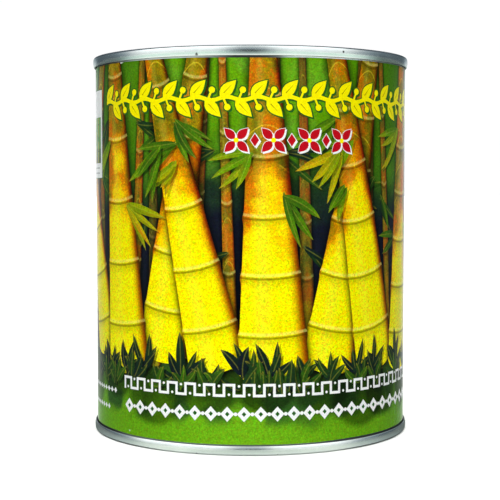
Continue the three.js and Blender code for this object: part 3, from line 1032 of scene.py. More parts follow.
# ---- panels -----------------------------------------------------------------
def left_panel():
    u0, v0, u1, v1 = -97.0, 80.9, -58.9, 108.0
    ink(box_poly(u0 - 0.25, v0 - 0.25, u1 + 0.25, v1 + 0.25), DEEP_GREEN)
    ink(box_poly(u0, v0, u1, v1), WHITE)
    a, b, c, d = u0 + 1.5, v0 + 4.6, u1 - 1.5, v1 - 8.2
    ink(box_poly(a, b, c, d), (0.10, 0.30, 0.05))
    ink(box_poly(a, b, c, b + 4.6), (0.03, 0.12, 0.015))
    ink(box_poly(a, b, c, b + 1.8), (0.012, 0.05, 0.012))
    for i in range(7):
        u = a + 3.2 + i * (c - a - 6.4) / 6
        ink([(u - 0.8, b), (u + 0.8, b), (u + 0.5, d), (u - 0.5, d)], (0.62, 0.46, 0.03) if i % 2 else (0.30, 0.30, 0.02))
        for k in range(3):
            y = b + 3.5 + k * 4.2 + (i % 3) * 1.1
            if y < d - 1:
                ink(box_poly(u - 0.95, y, u + 0.95, y + 0.45), (0.10, 0.09, 0.01))
    for i in range(6):
        u = a + 5.4 + i * (c - a - 10.8) / 5
        for lean in (132, 172, 214):
            y = d - 1.6 - (i % 2) * 3.4
            poly = [(min(max(p, a), c), min(max(q, b), d)) for p, q in petal((u, y), lean, 4.6, 0.72)]
            ink(poly, (0.05, 0.22, 0.02))
    # the pale head of the panel is bare, the pale foot holds two thin rules
    for y in (v0 + 1.5, v0 + 3.1):
        ink(box_poly(u0 + 3.0, y - 0.16, u1 - 3.0, y + 0.16), (0.28, 0.30, 0.30))


def side_rows():
    chain(-97.0, -47.2, 14.8, 16.6, 2.35)
    chain(-97.0, -52.0, 9.2, 11.0, 2.35)


def table_panel():
    u0, v0, u1, v1 = 106.0, 13.0, 141.0, 108.8
    ink(box_poly(u0 - 0.3, v0 - 0.3, u1 + 0.3, v1 + 0.3), DEEP_GREEN)
    ink(box_poly(u0, v0, u1, v1), (0.88, 0.88, 0.74))
    ink(box_poly(u0 + 1.6, v0 + 1.6, u1 - 1.6, v1 - 1.6), (0.03, 0.14, 0.03))
    ink(box_poly(u0 + 2.1, v0 + 2.1, u1 - 2.1, v1 - 2.1), (0.88, 0.88, 0.74))
    y = v1 - 12.0
    ink(box_poly(u0 + 4, y, u1 - 4, y + 1.2), (0.03, 0.14, 0.03))
    while y > v0 + 10:
        y -= 6.2
        ink(box_poly(u0 + 4, y, u1 - 4, y + 0.35), (0.05, 0.18, 0.05))
    ink(box_poly(u0 + 24.5, y, u0 + 24.8, v1 - 12.0), (0.05, 0.18, 0.05))


garland(-54.0, 99.0, 98.9, 108.4)
garland(144.5, WRAP - 100.5, 98.9, 108.4)
blossoms(-9.5, 4, 10.8, 87.8, 95.6)
blossoms(157.0, 4, 10.8, 87.8, 95.6)
battlement(-43.5, 74.5, 17.1, 21.0, 5.9, 0.78)
chain(-43.5, 74.5, 9.9, 14.3, 4.9)
battlement(147.0, WRAP - 103.0, 17.1, 21.0, 5.9, 0.78)
chain(147.0, WRAP - 103.0, 9.9, 14.3, 4.9)
left_panel()
side_rows()
table_panel()

# where the paper's top edge is nicked, its white core shows
FIBRE = (0.90, 0.90, 0.86)
for u, v, w, h in ((-44.5, V1, 0.62, 0.45), (-43.7, V1, 0.3, 0.25), (-41.0, 4.6, 0.22, 0.3), (61.0, V1, 0.4, 0.25), (129.0, 3.4, 0.8, 0.5)):
    ink([(u - w, v), (u - w * 0.4, v - h * 0.9), (u + w * 0.2, v - h * 0.6), (u + w * 0.6, v - h), (u + w, v), (u, v + h * 0.3)], FIBRE)


# ============================================================================
# From the drawing to a closed paper strip
# ============================================================================
def columns():
    angles = [3.0 * i for i in range(119)] + [356.0, 357.4, 358.0, 358.5, 359.0, 359.4, 360.0, 362.5, 365.0, 367.0, 369.0]
    return [U0 + PRINT_R * a * DEG for a in angles]


COLUMNS = columns()
ROWS = list(np.linspace(V0, V1, 29))


def arrange():
    verts, edges, faces = [], [], []

    def add(points):
        first = len(verts)
        verts.extend(points)
        return list(range(first, first + len(points)))

    grid = [[None] * len(ROWS) for _ in COLUMNS]
    for i, u in enumerate(COLUMNS):
        ids = add([(u, v) for v in ROWS])
        grid[i] = ids
        edges.extend(zip(ids, ids[1:]))
    for j in (0, len(ROWS) - 1):
        edges.extend((grid[i][j], grid[i + 1][j]) for i in range(len(COLUMNS) - 1))
    faces.append(add([(U0, V0), (U1, V0), (U1, V1), (U0, V1)]))
    for s in shapes:
        poly = s.poly
        area = sum(a[0] * b[1] - b[0] * a[1] for a, b in zip(poly, poly[1:] + poly[:1]))
        if area < 0:
            poly = poly[::-1]
        faces.append(add(poly))
        for guide in s.guides:
            if len(guide) > 1:
                ids = add(guide)
                edges.extend(zip(ids, ids[1:]))
    out_v, _, out_f, _, _, orig = delaunay_2d_cdt([tuple(map(float, p)) for p in verts], edges, faces, 1, 1e-4, True)
    return weld(np.array([tuple(p) for p in out_v]), np.array([tuple(f) for f in out_f]), orig)


def weld(pts, tris, orig, reach=5e-5):
    """Joins points that the cutting left on top of each other, and drops the faces that this closes."""
    cells = {}
    same = np.arange(len(pts))
    for i, (x, y) in enumerate(pts.tolist()):
        cx, cy = round(x / 0.001), round(y / 0.001)
        for key in [(cx + a, cy + b) for a in (-1, 0, 1) for b in (-1, 0, 1)]:
            for j, jx, jy in cells.get(key, ()):
                if abs(jx - x) < reach and abs(jy - y) < reach:
                    same[i] = j
        if same[i] == i:
            cells.setdefault((cx, cy), []).append((i, x, y))
    tris = same[tris]
    keep = (tris[:, 0] != tris[:, 1]) & (tris[:, 1] != tris[:, 2]) & (tris[:, 2] != tris[:, 0])
    tris = tris[keep]
    used = np.unique(tris)
    new = np.zeros(len(pts), int)
    new[used] = np.arange(len(used))
    return pts[used], new[tris], [o for o, k in zip(orig, keep) if k]


def lift(a_deg):
    t = np.clip((a_deg - 357.4) / 2.0, 0, 1)
    return 0.15 * t * t * (3 - 2 * t)


def cockle(a_deg, v):
    """Height of the paper's slight waves, outwards only, and none where it is pasted down at the lap."""
    a = a_deg * DEG
    wave = (
        0.022 * np.sin(9 * a + 0.05 * v)
        + 0.016 * np.sin(17 * a - 0.11 * v + 1.3)
        + 0.010 * np.sin(31 * a + 0.07 * v + 0.4)
        + 0.008 * np.sin(5 * a + 0.21 * v)
    )
    hold = np.clip((a_deg - 14) / 16, 0, 1) * np.clip((346 - a_deg) / 16, 0, 1)
    edge = 0.35 + 0.65 * np.clip(np.minimum(v - V0, V1 - v) / 9, 0, 1)
    return (0.09 + wave * edge) * hold


def place(u, v, inner=False):
    a_deg = (u - U0) / PRINT_R / DEG
    r = 49.75 + (0.0 if inner else 0.10) + lift(a_deg) + cockle(a_deg, v)
    phi = (90 + a_deg) * DEG
    # neither edge was cut quite straight
    low = np.clip((a_deg - 124) / 10, 0, 1) * np.clip((216 - a_deg) / 14, 0, 1) * np.clip((12 - v) / 8, 0, 1)
    high = np.clip((np.abs(a_deg - 180) - 6) / 14, 0, 1) * np.clip((v - 100) / 10, 0, 1)
    return np.stack([r * np.cos(phi), r * np.sin(phi), v - 0.25 * low + 0.26 * high], -1) * MM


def normals_at(u, v):
    e = 0.05
    du = place(u + e, v) - place(u - e, v)
    dv = place(u, v + e) - place(u, v - e)
    nrm = np.cross(du, dv)
    return nrm / np.linalg.norm(nrm, axis=-1)[..., None]


def label_mesh():
    pts, tris, orig = arrange()
    # topmost painted shape of each triangle, and the shadows that lie above it
    top = np.zeros(len(tris), int)
    shadows = {}
    for t, owners in enumerate(orig):
        solid = 0
        for f in owners:
            if f > solid and shapes[f - 1].kind is not None:
                solid = f
        top[t] = solid
        for f in owners:
            if f > solid and shapes[f - 1].kind is None:
                shadows.setdefault(f, []).append(t)
    corners = pts[tris]
    kinds = np.full(len(tris), GROUND)
    a = np.zeros((len(tris), 3, 3))
    b = np.zeros((len(tris), 3))
    c = np.zeros((len(tris), 3))
    light = np.ones((len(tris), 3))
    order = np.argsort(top, kind="stable")
    bounds = np.flatnonzero(np.diff(top[order])) + 1
    for group in np.split(order, bounds):
        f = top[group[0]]
        if f == 0:
            continue
        s = shapes[f - 1]
        kinds[group] = s.kind
        b[group] = s.b
        c[group] = s.c
        if s.local:
            x, y = s.local(corners[group, :, 0], corners[group, :, 1])
            a[group, :, 0] = x
            a[group, :, 1] = y
    for f, group in shadows.items():
        group = np.array(group)
        light[group] *= 1 - shapes[f - 1].dark(corners[group, :, 0], corners[group, :, 1])
    a[:, :, 2] = light

    # boundary of the paper, anticlockwise, seen from outside
    tol = 1e-5
    def along(mask, key, reverse=False):
        ids = np.flatnonzero(mask)
        ids = ids[np.argsort(pts[ids, key])]
        return ids[::-1] if reverse else ids
    used = np.zeros(len(pts), bool)
    used[tris.ravel()] = True
    low = along(used & (abs(pts[:, 1] - V0) < tol), 0)
    right = along(used & (abs(pts[:, 0] - U1) < tol), 1)
    high = along(used & (abs(pts[:, 1] - V1) < tol), 0, True)
    left = along(used & (abs(pts[:, 0] - U0) < tol), 1, True)
    loop = list(low[:-1]) + list(right[:-1]) + list(high[:-1]) + list(left[:-1])
    inner_pts = pts[loop]
    n_in = len(loop)
    edges_in = []
    for u in COLUMNS[1:-1]:
        lows = np.flatnonzero((abs(inner_pts[:, 0] - u) < tol) & (abs(inner_pts[:, 1] - V0) < tol))
        highs = np.flatnonzero((abs(inner_pts[:, 0] - u) < tol) & (abs(inner_pts[:, 1] - V1) < tol))
        if len(lows) and len(highs):
            edges_in.append((int(lows[0]), int(highs[0])))
    in_v, _, in_f, in_orig, _, _ = delaunay_2d_cdt([tuple(map(float, p)) for p in inner_pts], edges_in, [list(range(n_in))], 1, 1e-6, True)
    where = [o[0] for o in in_orig]
    assert len(in_v) == n_in, "the inside of the label grew points"

    n_out = len(pts)
    outer3 = place(pts[:, 0], pts[:, 1])
    inner3 = place(inner_pts[:, 0], inner_pts[:, 1], inner=True)
    verts = np.vstack([outer3, inner3])
    faces = [tuple(map(int, t)) for t in tris]
    first_inner = len(faces)
    for f in in_f:
        x, y, z = (n_out + where[i] for i in f)
        faces.append((z, y, x))
    first_edge = len(faces)
    for i in range(n_in):
        j = (i + 1) % n_in
        faces.append((int(loop[j]), int(loop[i]), n_out + i, n_out + j))
    mesh = bpy.data.meshes.new("label_wrap")
    mesh.from_pydata([tuple(p) for p in verts], [], faces)
    mesh.update()

    n_faces = len(faces)
    mat_index = np.full(n_faces, PAPER)
    mat_index[: len(tris)] = kinds
    mesh.polygons.foreach_set("material_index", mat_index.astype(np.int32))
    loops_total = len(mesh.loops)
    corner = np.zeros((loops_total, 3), np.float32)
    corner[:, 2] = 1.0
    corner[: len(tris) * 3] = a.reshape(-1, 3)
    face_b = np.zeros((n_faces, 3), np.float32)
    face_c = np.zeros((n_faces, 3), np.float32)
    face_b[: len(tris)] = b
    face_c[: len(tris)] = c
    for name, domain, data in (("art_place", "CORNER", corner), ("art_size", "FACE", face_b), ("art_tone", "FACE", face_c)):
        attribute = mesh.attributes.new(name, "FLOAT_VECTOR", domain)
        attribute.data.foreach_set("vector", data.ravel())

    # bake map: the front half of the wrap above, the back half below, the bare inside in a thin strip
    layer = mesh.uv_layers.new(name="OFBake")
    loop_vert = np.zeros(loops_total, np.int32)
    mesh.loops.foreach_get("vertex_index", loop_vert)
    flat = np.vstack([pts, inner_pts])[loop_vert]
    face_of_loop = np.repeat(np.arange(n_faces), [len(f) for f in faces])
    mid_u = np.zeros(n_faces)
    np.add.at(mid_u, face_of_loop, flat[:, 0])
    mid_u /= np.array([len(f) for f in faces])
    angle = (flat[:, 0] - U0) / PRINT_R / DEG
    mid_angle = ((mid_u - U0) / PRINT_R / DEG)[face_of_loop]
    row_front = (mid_angle > 90.0) & (mid_angle < 273.0)
    span = 186.5 + 1.0
    uvx = np.where(row_front, (angle - 90.0) / span, np.where(mid_angle > 180, (angle - 273.0) / span, (angle + 97.5) / span))
    vv = (flat[:, 1] - V0) / (V1 - V0)
    uvy = np.where(row_front, 0.515 + vv * 0.475, 0.03 + vv * 0.475)
    is_inner = (face_of_loop >= first_inner) & (face_of_loop < first_edge)
    is_edge = face_of_loop >= first_edge
    uvx = np.where(is_inner, angle / 380.0, uvx)
    uvy = np.where(is_inner, 0.002 + vv * 0.012, uvy)
    # edge strips: a thin row of their own, above the inside
    inner_side = loop_vert >= n_out
    k = np.concatenate([np.arange(n_in)])
    pos = np.zeros(n_out + n_in)
    pos[np.array(loop)] = np.arange(n_in)
    pos[n_out:] = np.arange(n_in)
    edge_pos = pos[loop_vert]
    # the last quad closes the loop
    last = is_edge & (face_of_loop == n_faces - 1) & (edge_pos == 0)
    edge_pos = np.where(last, n_in, edge_pos)
    uvx = np.where(is_edge, edge_pos / (n_in + 1), uvx)
    uvy = np.where(is_edge, np.where(inner_side, 0.017, 0.024), uvy)
    uv = np.stack([0.004 + uvx * 0.99, uvy], 1).astype(np.float32)
    layer.data.foreach_set("uv", uv.ravel())

    # exact normals of the wrapped paper, so that thin triangles don't show in its gloss
    mesh.polygons.foreach_set("use_smooth", [True] * n_faces)
    nrm = np.zeros((loops_total, 3))
    out_n = normals_at(flat[:, 0], flat[:, 1])
    nrm[:] = out_n
    nrm[is_inner] *= -1
    fn = np.zeros(n_faces * 3, np.float32)
    mesh.polygons.foreach_get("normal", fn)
    fn = fn.reshape(-1, 3)
    nrm[is_edge] = fn[face_of_loop[is_edge]]
    mesh.normals_split_custom_set([tuple(v) for v in nrm])
    return mesh


# ---- label materials ---------------------------------------------------------
def print_finish(n, colour, ink_gloss=0.0, strength=1.0):
    """Colour under the press's grain and the sheet's varnish, shared by every printed area."""
    p = n.object_mm()
    place_ = n.attribute("art_place")
    _, _, light = n.split(place_)
    grain = n.noise(p, 1.9, 3.0, 0.8)
    fine = n.noise(n.vmath("ADD", p, (31.0, 7.0, 3.0)), 7.5, 1.0, 0.5)
    speck = n.plus(n.mul(n.minus(grain, 0.5), 1.75 * strength), n.mul(n.minus(fine, 0.5), 0.50))
    colour = n.mix(1.0, colour, n.join(n.plus(speck, 1.0), n.plus(speck, 1.0), n.plus(speck, 1.0)), "MULTIPLY")
    hue = n.noise(n.vmath("ADD", p, (5.0, 11.0, 17.0)), 1.5, 2.0, 0.6, colour=True)
    colour = n.mix(0.55 * strength, colour, n.mix(1.0, colour, n.vmath("SCALE", hue, scale=2.0), "MULTIPLY"))
    colour = n.mix(1.0, colour, n.join(light, light, light), "MULTIPLY")
    # handling wear: faint rubbed patches that dull the varnish
    rub = n.smooth(n.noise(p, 0.05, 4.0, 0.62, 0.6), 0.50, 0.72)
    streak = n.noise(n.join(*[n.mul(q, k) for q, k in zip(n.split(p), (0.22, 0.22, 0.02))]), 1.0, 3.0, 0.5)
    rough = n.plus(n.plus(n.mul(streak, 0.10), n.mul(rub, 0.08)), 0.20 + ink_gloss)
    fibres = n.noise(p, 1.7, 4.0, 0.65)
    finish_shader(n, colour, rough, n.bump(n.plus(n.mul(fibres, 0.7), n.mul(fine, 0.3)), 0.006), specular=0.025,
                  Sheen_Weight=0.6, Sheen_Roughness=0.22)


def ground_material():
    mat, n = material("label_ground")
    p = n.object_mm()
    x, y, z = n.split(p)
    warp = n.minus(n.noise(n.join(x, y, n.mul(z, 0.7)), 0.055, 3.0, 0.55), 0.5)
    level = n.plus(z, n.mul(warp, 26.0))
    field = n.ramp(
        n.smooth(level, 0.0, 119.0, kind="LINEAR"),
        [
            (0.00, (0.142, 0.385, 0.007)), (0.085, (0.134, 0.365, 0.007)), (0.145, (0.050, 0.145, 0.006)), (0.20, (0.034, 0.085, 0.010)),
            (0.27, (0.006, 0.009, 0.018)), (0.56, (0.006, 0.008, 0.018)), (0.66, (0.014, 0.046, 0.008)), (0.74, (0.060, 0.19, 0.002)),
            (0.86, (0.115, 0.33, 0.001)), (1.0, (0.125, 0.36, 0.001)),
        ],
    )
    # out-of-focus foliage: rounded soft patches
    lumps = n.noise(n.join(x, y, z), 0.11, 1.5, 0.4)
    patch = n.smooth(lumps, 0.46, 0.60)
    low = n.mul(n.smooth(z, 7.0, 12.0), n.smooth(z, 20.0, 30.0, 1.0, 0.0))
    field = n.mix(n.mul(patch, low), field, (0.028, 0.095, 0.012))
    high = n.smooth(z, 70.0, 88.0)
    light_patch = n.smooth(n.noise(n.vmath("ADD", p, (40.0, 0.0, 9.0)), 0.07, 2.0, 0.5), 0.48, 0.66)
    field = n.mix(n.mul(n.mul(light_patch, high), 0.45), field, (0.17, 0.44, 0.03))
    # painted shade: deeper green either side of the middle, away from the front
    off = n.math("ABSOLUTE", n.mul(n.math("ARCTAN2", x, n.mul(y, -1.0)), 180 / math.pi))
    painted_side_shade = n.mul(n.mul(n.smooth(off, 20.0, 56.0), n.smooth(off, 78.0, 112.0, 1.0, 0.0)), high)
    field = n.mix(n.mul(painted_side_shade, 0.75), field, (0.036, 0.135, 0.002))
    # painted light: a lighter green low in the middle of the front
    clear = n.mul(n.smooth(off, 6.0, 38.0, 1.0, 0.0), n.smooth(z, 12.0, 20.0, 1.0, 0.0))
    field = n.vmath("SCALE", field, scale=n.plus(n.mul(clear, 0.15), 1.0))
    print_finish(n, field)
    return mat


def cane_material():
    mat, n = material("label_cane")
    s, d, _ = n.split(n.attribute("art_place"))
    w0, slope, pitch = n.split(n.attribute("art_size"))
    offset, seed, tone = n.split(n.attribute("art_tone"))
    width = n.plus(w0, n.mul(slope, s))
    t = n.math("DIVIDE", d, width)
    p = n.object_mm()
    seeded = n.join(n.plus(n.mul(d, 1.0), n.mul(seed, 3.0)), n.mul(s, 1.0), seed)
    # ripeness runs from golden at the foot to olive and brown at the top
    drift = n.minus(n.noise(seeded, 0.085, 3.0, 0.55), 0.5)
    dots = n.minus(n.noise(p, 1.7, 3.0, 0.8), 0.5)
    _, _, z = n.split(p)
    ripe = n.plus(n.plus(n.math("DIVIDE", n.minus(z, 35.0), 91.0), n.mul(drift, 0.66)), n.mul(tone, -1.0))
    ripe = n.plus(ripe, n.plus(n.mul(n.minus(n.mul(t, t), 0.3), 0.20), n.mul(dots, 0.16)))
    body = n.ramp(
        ripe,
        [
            (0.0, (1.0, 0.91, 0.0)), (0.23, (1.0, 0.88, 0.0)), (0.36, (1.0, 0.64, 0.0)), (0.44, (0.74, 0.28, 0.0)),
            (0.50, (0.36, 0.21, 0.002)), (0.62, (0.120, 0.130, 0.003)), (0.74, (0.38, 0.24, 0.002)), (0.86, (0.16, 0.14, 0.003)),
            (1.0, (0.28, 0.18, 0.003)),
        ],
    )
    blush = n.plus(n.noise(n.join(n.plus(d, seed), n.mul(s, 0.6), n.mul(seed, 2.0)), 0.15, 2.0, 0.5), n.mul(dots, 0.34))
    blush = n.mul(n.smooth(blush, 0.48, 0.60), n.smooth(ripe, 0.28, 0.44))
    body = n.mix(n.mul(blush, 0.80), body, (0.74, 0.150, 0.0))
    # long fibres
    fibre = n.noise(n.join(n.mul(n.plus(d, seed), 2.2), n.mul(s, 0.12), seed), 1.0, 4.0, 0.7)
    body = n.mix(n.mul(n.smooth(fibre, 0.40, 0.80, 0.0, 0.40), n.smooth(ripe, 0.30, 0.55)), body, (0.09, 0.07, 0.0))
    body = n.mix(n.smooth(fibre, 0.45, 0.80, 0.0, 0.14), body, (0.85, 0.45, 0.0))
    mottle = n.noise(seeded, 1.2, 4.0, 0.8)
    body = n.mix(n.mul(n.smooth(mottle, 0.54, 0.70, 0.0, 0.62), n.smooth(ripe, 0.40, 0.55)), body, (0.78, 0.52, 0.0))
    # thin pale arcs left by fallen sheaths
    rise = n.mul(n.minus(1.0, n.mul(t, t)), 3.4)
    turn = n.mul(n.math("FRACT", n.math("DIVIDE", n.plus(n.minus(s, rise), n.mul(seed, 7.7)), n.mul(pitch, 0.62))), n.mul(pitch, 0.62))
    scar = n.mul(n.smooth(n.math("ABSOLUTE", n.minus(turn, 2.0)), 0.12, 0.36, 1.0, 0.0), n.smooth(ripe, 0.46, 0.60))
    body = n.mix(n.mul(scar, 0.55), body, (0.85, 0.60, 0.02))
    # rounding: lit from the left, dark at both edges
    rim = n.math("SQRT", n.math("MAXIMUM", n.minus(1.0, n.mul(t, t)), 0.0))
    lit = n.plus(n.mul(rim, 0.80), n.mul(t, -0.30))
    shade = n.smooth(lit, -0.25, 0.50, 0.13, 1.0)
    edge_tint = n.mix(n.smooth(lit, 0.0, 0.56), (0.70, 0.20, 0.01), (1.0, 1.0, 1.0))
    body = n.mix(1.0, body, edge_tint, "MULTIPLY")
    body = n.mix(1.0, body, n.join(shade, shade, shade), "MULTIPLY")
    gleam = n.mul(n.smooth(n.math("ABSOLUTE", n.plus(t, 0.30)), 0.0, 0.42, 1.0, 0.0), n.smooth(fibre, 0.3, 0.7, 0.05, 0.16))
    body = n.mix(gleam, body, (1.0, 0.97, 0.09))
    # node rings: a groove under a pale collar, bowed a little downwards at the middle
    bow = n.mul(n.minus(1.0, n.mul(t, t)), 0.75)
    phase = n.math("FRACT", n.math("DIVIDE", n.plus(n.minus(s, offset), bow), pitch))
    up = n.mul(phase, pitch)
    down = n.mul(n.minus(1.0, phase), pitch)
    groove = n.smooth(n.math("MINIMUM", up, down), 0.15, 0.55, 1.0, 0.0)
    collar = n.mul(n.smooth(up, 0.45, 0.75), n.smooth(up, 1.1, 1.7, 1.0, 0.0))
    under = n.smooth(down, 0.3, 3.4, 1.0, 0.0)
    body = n.mix(n.mul(under, 0.45), body, n.mix(0.6, body, (0.05, 0.035, 0.0)))
    body = n.mix(n.mul(collar, 0.55), body, n.mix(0.55, body, (1.0, 0.95, 0.22)))
    body = n.mix(n.mul(groove, 0.80), body, n.mix(0.75, body, (0.05, 0.03, 0.0)))
    # far stems sink into the dark
    far = n.smooth(tone, -0.22, -0.45)
    body = n.mix(n.mul(far, 0.72), body, (0.015, 0.030, 0.012))
    print_finish(n, body)
    return mat


def leaf_material():
    mat, n = material("label_leaf")
    x, d, _ = n.split(n.attribute("art_place"))
    width, length, seed = n.split(n.attribute("art_size"))
    tone, _, _ = n.split(n.attribute("art_tone"))
    along = n.mul(x, length)
    vary = n.minus(n.noise(n.join(n.plus(d, seed), n.mul(along, 0.3), seed), 0.5, 3.0, 0.6), 0.5)
    value = n.plus(tone, n.plus(n.mul(vary, 0.30), n.mul(n.minus(x, 0.5), 0.12)))
    body = n.ramp(
        value,
        [
            (0.0, (0.005, 0.009, 0.016)), (0.15, (0.008, 0.024, 0.012)), (0.32, (0.022, 0.070, 0.008)), (0.50, (0.055, 0.16, 0.004)),
            (0.66, (0.13, 0.31, 0.002)), (0.80, (0.30, 0.38, 0.002)), (0.92, (0.58, 0.44, 0.002)), (1.0, (0.72, 0.30, 0.001)),
        ],
    )
    side = n.smooth(d, -0.25, 0.25)
    body = n.mix(n.mul(side, 0.45), body, n.mix(0.55, body, (0.004, 0.018, 0.004)))
    rib = n.smooth(n.math("ABSOLUTE", d), 0.08, 0.26, 1.0, 0.0)
    body = n.mix(n.mul(rib, 0.30), body, n.mix(0.5, body, (0.60, 0.62, 0.06)))
    veins = n.math("SINE", n.mul(n.plus(d, n.mul(vary, 0.6)), 11.0))
    body = n.mix(n.smooth(veins, 0.2, 1.0, 0.0, 0.22), body, n.mix(0.6, body, (0.0, 0.02, 0.0)))
    tip = n.smooth(x, 0.80, 1.0)
    body = n.mix(n.mul(tip, 0.35), body, (0.30, 0.20, 0.02))
    print_finish(n, body)
    return mat


def ink_material():
    mat, n = material("label_ink")
    print_finish(n, n.attribute("art_tone"), 0.02, 0.25)
    return mat


def paper_material():
    mat, n = material("label_paper_back")
    p = n.object_mm()
    x, y, z = n.split(p)
    fibre = n.noise(n.join(x, y, n.mul(z, 1.0)), 1.4, 5.0, 0.75, 1.2)
    cloud = n.noise(p, 0.10, 3.0, 0.5)
    colour = n.ramp(n.plus(n.mul(fibre, 0.5), n.mul(cloud, 0.5)), [(0.3, (0.74, 0.73, 0.68)), (0.7, (0.88, 0.875, 0.84))])
    finish_shader(n, colour, n.plus(n.mul(fibre, 0.15), 0.72), n.bump(fibre, 0.012), specular=0.25)
    return mat


label = label_mesh()
for m in (ground_material(), cane_material(), leaf_material(), ink_material(), paper_material()):
    label.materials.append(m)
add_object("label_wrap", label, "label_print", "paper_label")
print("LABEL", len(label.polygons), "faces,", len(shapes), "shapes")


# ============================================================================
# The shoot tips inside
# ============================================================================
def shoot_material():
    """Boiled bamboo shoot: ivory to straw flesh, sheath lines round it, olive and brown towards the point."""
    mat, n = material("shoot_flesh")
    p = n.object_mm()
    s, lap, seed = n.split(n.attribute("shoot_place"))
    _, angle, _ = polar(n, p)
    soft = n.noise(n.vmath("ADD", p, n.join(seed, seed, seed)), 0.12, 4.0, 0.6)
    age = n.plus(s, n.mul(n.minus(soft, 0.5), 0.35))
    body = n.ramp(
        age,
        [
            (0.0, (0.78, 0.66, 0.30)), (0.25, (0.80, 0.66, 0.24)), (0.5, (0.66, 0.50, 0.14)), (0.72, (0.36, 0.29, 0.07)),
            (0.88, (0.22, 0.17, 0.05)), (1.0, (0.14, 0.10, 0.04)),
        ],
    )
    fibre = n.noise(n.join(n.mul(n.split(p)[0], 2.4), n.mul(n.split(p)[1], 2.4), n.mul(n.split(p)[2], 0.12)), 1.0, 4.0, 0.7)
    body = n.mix(n.smooth(fibre, 0.45, 0.75, 0.0, 0.30), body, (0.42, 0.30, 0.08))
    edge = n.smooth(lap, 0.0, 0.10, 1.0, 0.0)
    body = n.mix(n.mul(edge, 0.5), body, (0.20, 0.13, 0.04))
    spot = n.smooth(n.noise(p, 0.55, 4.0, 0.7), 0.62, 0.72)
    body = n.mix(n.mul(spot, 0.45), body, (0.32, 0.20, 0.06))
    height = n.plus(n.mul(fibre, 0.7), n.mul(soft, 0.6))
    finish_shader(n, body, n.plus(n.mul(soft, 0.18), 0.30), n.bump(height, 0.06), specular=0.45, Subsurface_Weight=0.08)
    n.shader.inputs["Subsurface Radius"].default_value = (0.004, 0.003, 0.001)
    return mat


FLESH = shoot_material()

OUTER_TIPS = [
    (12.8, 106, 1.6, 0.6, 0.03), (12.9, 104, 1.56, 0.5, 0.05), (12.6, 103, 1.62, 0.8, 0.02), (12.9, 107, 1.54, 0.4, 0.04),
    (13.0, 105, 1.54, 0.6, 0.06), (12.6, 102, 1.62, 0.7, 0.03), (12.7, 108, 1.56, 0.5, 0.02), (12.9, 104, 1.58, 0.6, 0.05),
    (12.9, 106, 1.56, 0.8, 0.04), (12.5, 101, 1.66, 0.5, 0.03), (12.8, 107, 1.56, 0.6, 0.05), (12.8, 103, 1.6, 0.4, 0.02),
]
MIDDLE_TIPS = [(10.8, 106, 1.62, 0.5, 0.04), (11.0, 108, 1.6, 0.4, 0.03), (10.7, 103, 1.66, 0.5, 0.05), (10.9, 107, 1.62, 0.4, 0.02)]


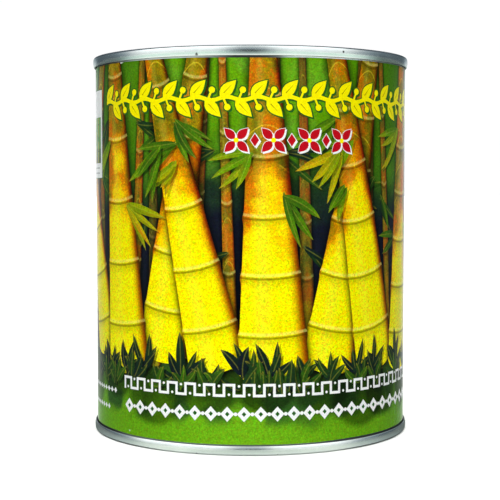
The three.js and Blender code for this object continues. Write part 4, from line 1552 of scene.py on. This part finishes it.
def make_shoot(number, size, ring_r, deg, floor):
    radius, length, power, lean, flat = size
    r = random.Random(700 + number)
    around, rows = 60, 84
    # sheath edges, closer together towards the point
    laps, x = [], 0.07
    while x < 0.93:
        laps.append(x)
        x += 0.135 * (1 - 0.62 * x) * r.uniform(0.85, 1.15)
    stations = {0.0, 1.0, 0.004, 0.012, 0.025}
    for i in range(rows):
        stations.add(i / rows)
    for lx in laps:
        stations |= {lx - 0.006, lx, lx + 0.002, lx + 0.008}
    stations = sorted(q for q in stations if 0 <= q <= 1)
    verts, data, faces = [], [], []
    turn = r.uniform(0, 360)
    phase = [r.uniform(0, 6.28) for _ in range(6)]
    for x in stations:
        swell = 1 - 0.07 * math.exp(-x * 14)
        base = radius * swell * (1 - x ** power) + 0.8 * x
        for k in range(around):
            a = 2 * math.pi * k / around
            # each sheath wraps round and ends on a slanting line
            slant = 0.020 * math.cos(a + turn * DEG)
            below = [q for q in laps if q <= x + slant]
            start = below[-1] if below else -0.07
            past = x + slant - start
            index = len(below)
            step = 0.045 * math.exp(-past / 0.030) * (1 if below else 0)
            ribs = 0.010 * math.sin(9 * a + index * 2.1 + phase[0]) + 0.006 * math.sin(23 * a + phase[1] + 5 * x)
            lump = 0.012 * math.sin(3 * a + phase[2] + 7 * x) + 0.010 * math.sin(2 * a + phase[3] - 4 * x)
            rr = base * (0.955 - step + ribs * (1 - 0.6 * x) + lump)
            if x < 0.012:
                rr *= 0.975 + 0.025 * x / 0.012
            px = rr * math.cos(a) + lean * -1 * x * x
            py = rr * math.sin(a) * (1 - flat)
            verts.append((px, py, x * (length - 1.4) + 0.15))
            data.append((x, past, r.random() * 0 + number * 7.3))
    rings = len(stations)
    for i in range(rings - 1):
        for k in range(around):
            m = (k + 1) % around
            faces.append((i * around + k, i * around + m, (i + 1) * around + m, (i + 1) * around + k))
    # cut butt: shallow rings down to a pith dimple; and the closed point
    def cap(ring_index, heights, flip):
        start = ring_index * around
        centre = np.mean([verts[start + k] for k in range(around)], 0)
        last = list(range(start, start + around))
        for share, dz in heights:
            ids = []
            for k in range(around):
                v = verts[start + k]
                ids.append(len(verts))
                verts.append((centre[0] + (v[0] - centre[0]) * share, centre[1] + (v[1] - centre[1]) * share, v[2] + dz))
                data.append((data[start][0] + (0.0 if flip else 0.0), 1.0, data[start][2]))
            for k in range(around):
                m = (k + 1) % around
                quad = (last[k], last[m], ids[m], ids[k])
                faces.append(quad[::-1] if flip else quad)
            last = ids
        tip = len(verts)
        verts.append((centre[0], centre[1], verts[start][2] + heights[-1][1] * 1.1))
        data.append((data[start][0], 1.0, data[start][2]))
        for k in range(around):
            m = (k + 1) % around
            tri = (last[k], last[m], tip)
            faces.append(tri[::-1] if flip else tri)
    cap(0, [(0.96, -0.12), (0.80, -0.10), (0.62, 0.05), (0.60, 0.45), (0.40, 0.75), (0.18, 0.9)], True)
    cap(rings - 1, [(0.7, 0.5), (0.35, 0.9)], False)
    pts = np.array(verts)
    upright = number % 2 == 1
    if not upright:
        pts = pts * np.array([1, -1, -1])
    pts[:, 0] += ring_r
    pts[:, 2] += floor if upright else H - floor
    c, s = math.cos(deg * DEG), math.sin(deg * DEG)
    pts[:, :2] = pts[:, :2] @ np.array([[c, s], [-s, c]])
    mesh = bpy.data.meshes.new(f"shoot_{number:02d}")
    mesh.from_pydata([tuple(p * MM) for p in pts], [], faces)
    attribute = mesh.attributes.new("shoot_place", "FLOAT_VECTOR", "POINT")
    attribute.data.foreach_set("vector", np.array(data, np.float32).ravel())
    mesh.polygons.foreach_set("use_smooth", [True] * len(mesh.polygons))
    mesh.materials.append(FLESH)
    mesh.update()
    mesh.set_sharp_from_angle(angle=55 * DEG)
    return add_object(f"shoot_{number:02d}", mesh, "shoot_flesh", f"shoot_tip_{number:02d}")


for i, size in enumerate(OUTER_TIPS):
    make_shoot(i + 1, size, 35.6, i * 30 + 9, 5.1)
for i, size in enumerate(MIDDLE_TIPS):
    make_shoot(i + 13, size, 11.4, i * 90 + 24, 3.8)
